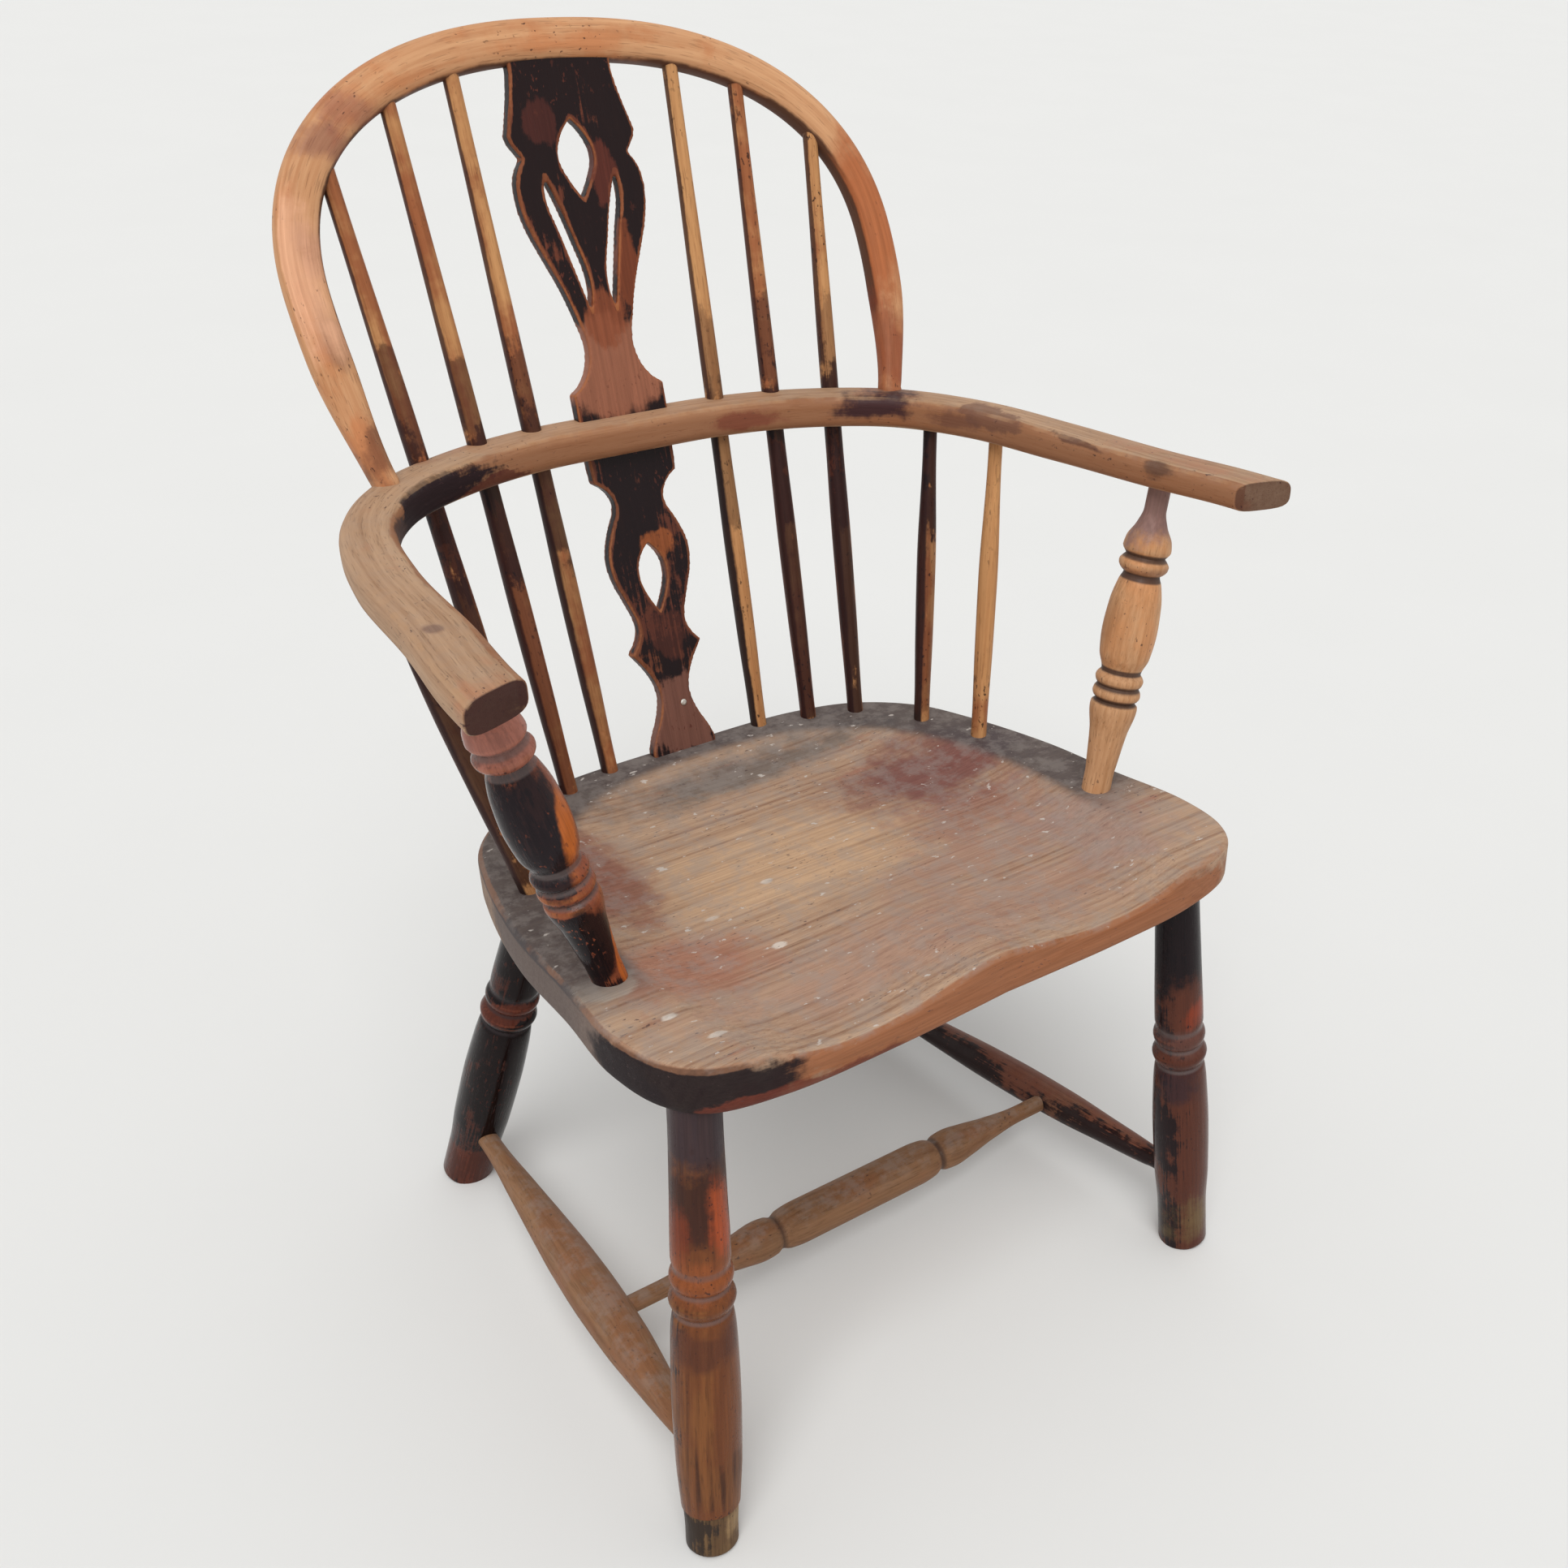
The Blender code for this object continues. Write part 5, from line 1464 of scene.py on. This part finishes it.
    def leg(self, which: str) -> WornWood:
        """Leg finish.

        Args:
            which: Place of the leg.

        Returns:
            The finish.
        """
        if which == "front_left":
            marks = (
                # Mauve-black top of the front left leg, just under the seat: painted shade.
                Patch((-0.215, -0.232, 0.372), (0.06, 0.06, 0.050), rgb(50, 40, 44), 0.92, 1.2, None, 0.35),
                Patch((-0.222, -0.240, 0.310), (0.05, 0.05, 0.034), rgb(46, 26, 23), 0.85, 1.9, None, 0.3),
                Patch((-0.210, -0.252, 0.298), (0.014, 0.024, 0.044), rgb(148, 66, 32), 0.92, 1.3, None, 0.4),
                Patch((-0.240, -0.225, 0.285), (0.012, 0.022, 0.034), rgb(118, 52, 28), 0.65, 1.6, None, 0.5),
                Patch((-0.235, -0.248, 0.195), (0.05, 0.05, 0.018), rgb(72, 40, 30), 0.65, 1.5, None, 0.4),
                Patch((-0.225, -0.245, 0.250), (0.05, 0.05, 0.020), rgb(134, 72, 38), 0.60, 1.2, None, 0.4),
            )
            return WornWood(
                "leg_front_left_wood", rgb(126, 78, 42), rgb(70, 40, 24), rgb(100, 56, 31), rgb(34, 20, 22),
                varnish_cover=0.56, stain_cover=0.02, keeps=(-0.9, 0.3, 0.0), keeps_more=0.16,
                hollow_colour=rgb(108, 90, 86), hollow_cover=0.6,
                figure=0.85, figure_pitch=120, figure_bend=30.0,
                edge_wear=0.10, flecks=0.25, dust=0.0, seed=9.6, patches=marks, rough=0.38,
            )
        if which == "front_right":
            marks = (
                Patch((0.222, -0.232, 0.345), (0.06, 0.06, 0.076), rgb(19, 12, 16), 0.97, 1.3, None, 0.2),
                Patch((0.238, -0.258, 0.262), (0.022, 0.024, 0.022), rgb(124, 50, 27), 0.75, 1.4, None, 0.4),
                Patch((0.238, -0.250, 0.232), (0.05, 0.05, 0.016), rgb(90, 62, 56), 0.50, 1.0, None, 0.4),
                Patch((0.225, -0.247, 0.190), (0.03, 0.03, 0.024), rgb(44, 30, 35), 0.75, 1.5, None, 0.4),
                Patch((0.255, -0.262, 0.035), (0.026, 0.03, 0.034), rgb(102, 84, 54), 0.70, 1.6, None, 0.5),
            )
            return WornWood(
                "leg_front_right_wood", rgb(102, 58, 40), rgb(64, 36, 28), rgb(76, 40, 29), rgb(26, 16, 20),
                varnish_cover=0.85, stain_cover=0.10, keeps=(-0.95, 0.2, 0.0), keeps_more=0.16,
                hollow_colour=rgb(104, 92, 90), hollow_cover=0.6, figure=0.15, edge_wear=0.10, flecks=0.3,
                dust=0.0, seed=11.2, patches=marks, rough=0.38,
            )
        seed = 12.9 if which == "back_left" else 14.2
        foot = (-0.205, 0.19, 0.024) if which == "back_left" else (0.21, 0.19, 0.024)
        marks = (
            Patch(foot, (0.05, 0.06, 0.030), rgb(92, 42, 26), 0.5, 1.3),
            Patch((foot[0] * 0.95, 0.12, 0.215), (0.06, 0.06, 0.012), rgb(104, 50, 34), 0.5, 1.6),
        )
        return WornWood(
            f"leg_{which}_wood", rgb(92, 50, 34), rgb(58, 30, 22), rgb(56, 26, 20), rgb(14, 8, 10),
            varnish_cover=0.90, stain_cover=0.80, keeps=(0.9, 0.2, 0.0), keeps_more=0.10,
            hollow_colour=rgb(52, 44, 46), hollow_cover=0.6, figure=0.15, edge_wear=0.12, flecks=0.5,
            dust=0.0, seed=seed, patches=marks, rough=0.40,
        )

    def foot_tip(self) -> WornWood:
        """Bare repair piece under the front left leg.

        Returns:
            The finish.
        """
        light = (
            Patch((-0.228, -0.284, 0.026), (0.014, 0.03, 0.022), rgb(150, 122, 86), 0.75, 1.6, None, 0.4),
        )
        return WornWood(
            "foot_tip_wood", rgb(112, 86, 58), rgb(72, 54, 38), rgb(84, 60, 40), rgb(46, 36, 30),
            varnish_cover=0.55, stain_cover=0.30, keeps=(-0.9, 0.3, 0.0), keeps_more=0.15,
            figure=0.3, edge_wear=0.05, flecks=0.4, dust=0.0, seed=16.1, patches=light, rough=0.62,
        )

    def stretcher(self, which: str) -> WornWood:
        """Grey-tan stretchers; the right one is mostly black and red-brown.

        Args:
            which: Place of the stretcher.

        Returns:
            The finish.
        """
        if which == "right":
            return WornWood(
                "stretcher_right_wood", rgb(124, 84, 64), rgb(88, 56, 42), rgb(100, 58, 44), rgb(28, 18, 20),
                varnish_cover=0.66, stain_cover=0.50, keeps=(-0.9, 0.0, -0.5), keeps_more=0.10,
                figure=0.2, edge_wear=0.0, flecks=0.4, dust=0.04, seed=17.4, rough=0.55,
            )
        return WornWood(
            f"stretcher_{which}_wood", rgb(142, 105, 76), rgb(106, 73, 50), rgb(122, 82, 56), rgb(58, 42, 36),
            varnish_cover=0.45, stain_cover=0.0, keeps=(0.1, 0.0, -1.0), keeps_more=0.14,
            hollow_colour=rgb(58, 44, 40), hollow_cover=0.75, figure=0.22, edge_wear=0.0, flecks=0.22,
            dust=0.28, seed=18.8 if which == "left" else 20.5, rough=0.55,
        )

    def seat(self) -> WornWood:
        """Bare tan dish with side-to-side grain, dark margin and red remains of varnish.

        Returns:
            The finish.
        """
        up, front, left = (0.0, 0.0, 1.0), (0.0, -1.0, 0.0), (-1.0, 0.0, 0.0)
        right, back = (1.0, 0.0, 0.0), (0.0, 1.0, 0.0)
        corner, below_corner = (-0.6, -0.8, -0.05), (-0.3, -0.9, -0.2)
        white = rgb(196, 184, 172)
        marks = (
            Patch((-0.02, -0.05, 0.402), (0.170, 0.090, 0.05), rgb(186, 152, 118), 0.55, 0.8, up, 0.6),
            Patch((0.150, -0.005, 0.402), (0.115, 0.066, 0.05), rgb(106, 64, 60), 0.90, 1.1, up, 0.5),
            Patch((0.135, -0.075, 0.402), (0.095, 0.045, 0.05), rgb(128, 86, 76), 0.60, 1.2, up, 0.5),
            Patch((-0.155, 0.010, 0.402), (0.044, 0.090, 0.05), rgb(116, 68, 58), 0.78, 1.2, up, 0.4),
            Patch((-0.160, -0.130, 0.402), (0.075, 0.055, 0.05), rgb(144, 94, 76), 0.72, 1.0, up, 0.5),
            Patch((0.02, -0.195, 0.402), (0.260, 0.058, 0.05), rgb(150, 116, 100), 0.60, 1.0, up, 0.5),
            Patch((0.02, 0.082, 0.402), (0.160, 0.030, 0.03), rgb(92, 86, 82), 0.80, 1.2, up, 0.5),
            Patch((0.10, -0.13, 0.402), (0.130, 0.036, 0.05), rgb(144, 110, 96), 0.6, 1.2, up, 0.5),
            Patch((0.19, -0.16, 0.402), (0.060, 0.075, 0.05), rgb(140, 116, 108), 0.6, 1.2, up, 0.5),
            Patch((0.05, -0.270, 0.395), (0.270, 0.040, 0.030), rgb(134, 80, 48), 0.88, 0.8, front),
            Patch((-0.240, -0.08, 0.395), (0.030, 0.140, 0.030), rgb(102, 88, 82), 0.85, 0.9, left),
            Patch((0.250, -0.06, 0.395), (0.040, 0.200, 0.030), rgb(112, 82, 66), 0.80, 0.9, right, 0.2),
            Patch((0.0, 0.130, 0.385), (0.260, 0.080, 0.040), rgb(66, 52, 50), 0.88, 1.0, back, 0.2),
            Patch((-0.228, -0.225, 0.397), (0.078, 0.080, 0.026), rgb(24, 15, 19), 0.97, 0.7, corner),
            Patch((-0.175, -0.258, 0.383), (0.110, 0.030, 0.010), rgb(96, 46, 34), 0.85, 1.0, below_corner),
            Patch((-0.219, -0.123, 0.415), (0.023, 0.018, 0.012), rgb(178, 164, 148), 0.75, 0.8, up),
            Patch((-0.093, -0.140, 0.402), (0.0060, 0.0038, 0.02), white, 0.88, 1.4, up, 0.3),
            Patch((-0.202, -0.178, 0.415), (0.0064, 0.0034, 0.02), white, 0.88, 1.4, up, 0.3),
            Patch((-0.188, -0.212, 0.415), (0.0072, 0.0028, 0.02), white, 0.82, 1.6, up, 0.3),
            Patch((-0.053, -0.066, 0.400), (0.0056, 0.0030, 0.02), white, 0.75, 1.6, up, 0.3),
            Patch((-0.112, -0.085, 0.400), (0.0074, 0.0026, 0.02), white, 0.60, 1.6, up, 0.3),
        )
        return WornWood(
            "seat_wood", rgb(184, 154, 128), rgb(140, 106, 84), rgb(148, 104, 84), rgb(64, 48, 48),
            varnish_cover=0.16, stain_cover=0.0, keeps=(0.0, 0.0, -1.0), keeps_more=0.14,
            hollow_colour=rgb(70, 66, 68), hollow_cover=0.88, figure=0.40, figure_pitch=130, edge_wear=0.16,
            flecks=0.10, dust=0.34, grain_stretch=(620.0, 11.0), seed=22.3, patches=marks, rough=0.60,
            rim_colour=rgb(156, 110, 82), rim_wear=0.45, scuffs=0.75,
        )


@dataclass
class Chair:
    """Every piece of the chair, with its finish.

    Attributes:
        finishes: Where the finishes come from.
        made: Number of pieces so far.
    """

    finishes: Finishes = field(default_factory=Finishes)
    made: int = 0

    def dress(self, piece: bpy.types.Object, finish: WornWood, slot: str, *nodes: str) -> None:
        """Give a piece its finish and let it stand for its nodes.

        Args:
            piece: The piece.
            finish: Its finish.
            slot: Material slot of the record; not used.
            nodes: The nodes that it replaces.
        """
        piece.data.materials.append(finish.material())
        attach(piece, "root")
        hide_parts(*nodes)
        self.made += 1
        LOG.info("%s: %d faces", piece.name, len(piece.data.polygons))

    def build(self) -> None:
        """Make all the pieces."""
        finishes = self.finishes
        self.dress(Seat().build(), finishes.seat(), "worn_elm_seat", "seat")
        self.dress(ArmBow().build(), finishes.arm(), "worn_arm", "arm_bow")
        self.dress(Hoop().build(), finishes.hoop(), "worn_hoop", "hoop_back")
        self.dress(Splat("upper_splat").build(), finishes.upper_splat(), "dark_splat", "upper_splat")
        self.dress(Splat("lower_splat").build(), finishes.lower_splat(), "dark_splat", "lower_splat")
        self.build_sticks()
        for side, word in ((-1, "left"), (1, "right")):
            node = f"arm_post_{word}"
            self.dress(TurnedNode(node, 16, 0.0014).build(), finishes.post(side), "stained_posts", node)
        for word in ("front_left", "front_right", "back_left", "back_right"):
            node = f"leg_{word}"
            slot = "stained_front_legs" if word.startswith("front") else "dark_back_legs"
            shape = TurnedNode(node, 16, 0.0018, on_floor=word != "front_left", least=0.0125, downwards=True)
            self.dress(shape.build(), finishes.leg(word), slot, node)
        tip = TurnedNode("foot_tip_front_left", 16, 0.0025, on_floor=True, downwards=True)
        self.dress(tip.build(), finishes.foot_tip(), "bare_foot_tip", "foot_tip_front_left")
        for word in ("left", "right"):
            node = f"side_stretcher_{word}"
            self.dress(TurnedNode(node, 16, 0.004).build(), finishes.stretcher(word), "worn_stretchers", node)
        cross = TurnedNode("cross_stretcher", 16, 0.002).build()
        self.dress(cross, finishes.stretcher("cross"), "worn_stretchers", "cross_stretcher")
        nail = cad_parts["splat_nail"]
        nail.data.materials.clear()
        nail.data.materials.append(Metal("nail_metal").material())

    def build_sticks(self) -> None:
        """Make the ten sticks, each with its own wear."""
        wear = {
            "long_stick_left_1": StickWearAndShade(0.45, 0.8, 0.2, 1.0),
            "long_stick_left_2": StickWearAndShade(0.35, 1.0, 0.4, 1.0),
            "long_stick_left_3": StickWearAndShade(0.30, 1.0, 0.8, 1.0),
            "long_stick_right_1": StickWearAndShade(0.85, 0.5, 0.0, 1.0),
            "long_stick_right_2": StickWearAndShade(0.45, 1.0, 0.8, 1.0),
            "long_stick_right_3": StickWearAndShade(0.90, 1.0, 0.9, 1.0),
            "short_stick_left_1": StickWearAndShade(0.30, 1.0, 0.8, 1.0),
            "short_stick_left_2": StickWearAndShade(0.30, 1.0, 0.8, 1.0),
            "short_stick_right_1": StickWearAndShade(0.65, 1.0, 0.3, 1.0),
            "short_stick_right_2": StickWearAndShade(1.0, 0.0, 0.0, 0.1),
        }
        for number, (node, stick_wear_and_shade) in enumerate(wear.items()):
            finish = self.finishes.stick(node + "_wood", 30.0 + number * 1.7, stick_wear_and_shade)
            shape = TurnedNode(node, 12, 0.006, facets=28)
            self.dress(shape.build(), finish, "patchy_sticks", node)


@dataclass
class Studio:
    """Pale floor, soft light and the photograph's camera.

    Attributes:
        floor_colour: Colour of the floor.
        floor_half: Half its width.
        key_energy: Strength of the main lamp.
        key_angle: How wide that lamp looks.
        key_from: Way from the chair to it, at the front left.
        sky_strength: Strength of the light from all round.
        backdrop_colour: Colour that stands behind the floor.
    """

    floor_colour: Colour = field(default_factory=lambda: rgb(226, 226, 224))
    floor_half: float = 60.0
    key_energy: float = 1.7
    key_angle: float = radians(35)
    key_from: tuple[float, float, float] = (-0.42, -0.50, 1.0)
    sky_strength: float = 0.66
    backdrop_colour: Colour = field(default_factory=lambda: rgb(239, 239, 237))

    def build(self) -> None:
        """Make the studio."""
        self.build_floor()
        self.build_world()
        self.build_lamp()
        self.build_camera()
        bpy.context.scene.view_settings.view_transform = "Standard"

    def build_floor(self) -> None:
        """Make the floor."""
        half = self.floor_half
        corners = [Vector((x * half, y * half, 0)) for x, y in ((-1, -1), (1, -1), (1, 1), (-1, 1))]
        floor = make_object("floor", corners, [(0, 1, 2, 3)], {})
        tree = ShaderTree("floor_finish")
        cloud = tree.noise(tree.place(), 3.0, 4.0)
        tint = tree.blend(cloud, self.floor_colour, scaled(self.floor_colour, 0.97))
        tree.feed(tree.shader.inputs["Base Color"], tint)
        tree.feed(tree.shader.inputs["Roughness"], 0.9)
        floor.data.materials.append(tree.material)

    def build_world(self) -> None:
        """Make the even light and the pale background that rays to the eye see."""
        world = bpy.data.worlds.new("studio")
        bpy.context.scene.world = world
        world.use_nodes = True
        tree = NodeTree(world.node_tree)
        rays = ("Is Camera Ray", "Is Glossy Ray", "Is Transmission Ray")
        camera, glossy, through = (tree.add("ShaderNodeLightPath", None, None, ray) for ray in rays)
        shown = tree.add("ShaderNodeBackground", None, {"Color": self.backdrop_colour, "Strength": 1.0})
        light = tree.nodes["Background"]
        tree.feed(light.inputs["Color"], (1.0, 1.0, 1.0))
        tree.feed(light.inputs["Strength"], self.sky_strength)
        seen = camera.most(glossy).most(through)
        sources = {0: seen, 1: Value(tree, light.outputs[0]), 2: shown}
        either = tree.add("ShaderNodeMixShader", None, sources)
        tree.feed(tree.nodes["World Output"].inputs["Surface"], either)

    def build_lamp(self) -> None:
        """Make the main lamp."""
        lamp = bpy.data.lights.new("key", "SUN")
        lamp.energy = self.key_energy
        lamp.angle = self.key_angle
        holder = bpy.data.objects.new("key", lamp)
        holder.rotation_euler = Vector(self.key_from).to_track_quat("Z", "Y").to_euler()
        bpy.context.scene.collection.objects.link(holder)

    def build_camera(self) -> None:
        """Make the camera that took the photograph."""
        lens = bpy.data.cameras.new("camera")
        lens.sensor_width = SENSOR_MM
        lens.lens = SENSOR_MM * FOCAL_PX / PHOTO_PX
        lens.shift_x = -(LENS_CENTRE_PX[0] - PHOTO_PX / 2) / PHOTO_PX
        lens.shift_y = (LENS_CENTRE_PX[1] - PHOTO_PX / 2) / PHOTO_PX
        camera = bpy.data.objects.new("camera", lens)
        up = CAMERA_RIGHT.cross(CAMERA_FORWARD)
        axes = Matrix((CAMERA_RIGHT, up, -CAMERA_FORWARD)).transposed().to_4x4()
        camera.matrix_world = Matrix.Translation(CAMERA_PLACE + CHAIR_SHIFT) @ axes
        bpy.context.scene.collection.objects.link(camera)
        bpy.context.scene.camera = camera


def main() -> None:
    """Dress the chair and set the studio."""
    logging.basicConfig(level=logging.INFO, format="%(name)s: %(message)s")
    chair = Chair()
    chair.build()
    LOG.info("%d pieces made", chair.made)
    Studio().build()
    bpy.context.view_layer.update()


if __name__ == "__main__":
    main()
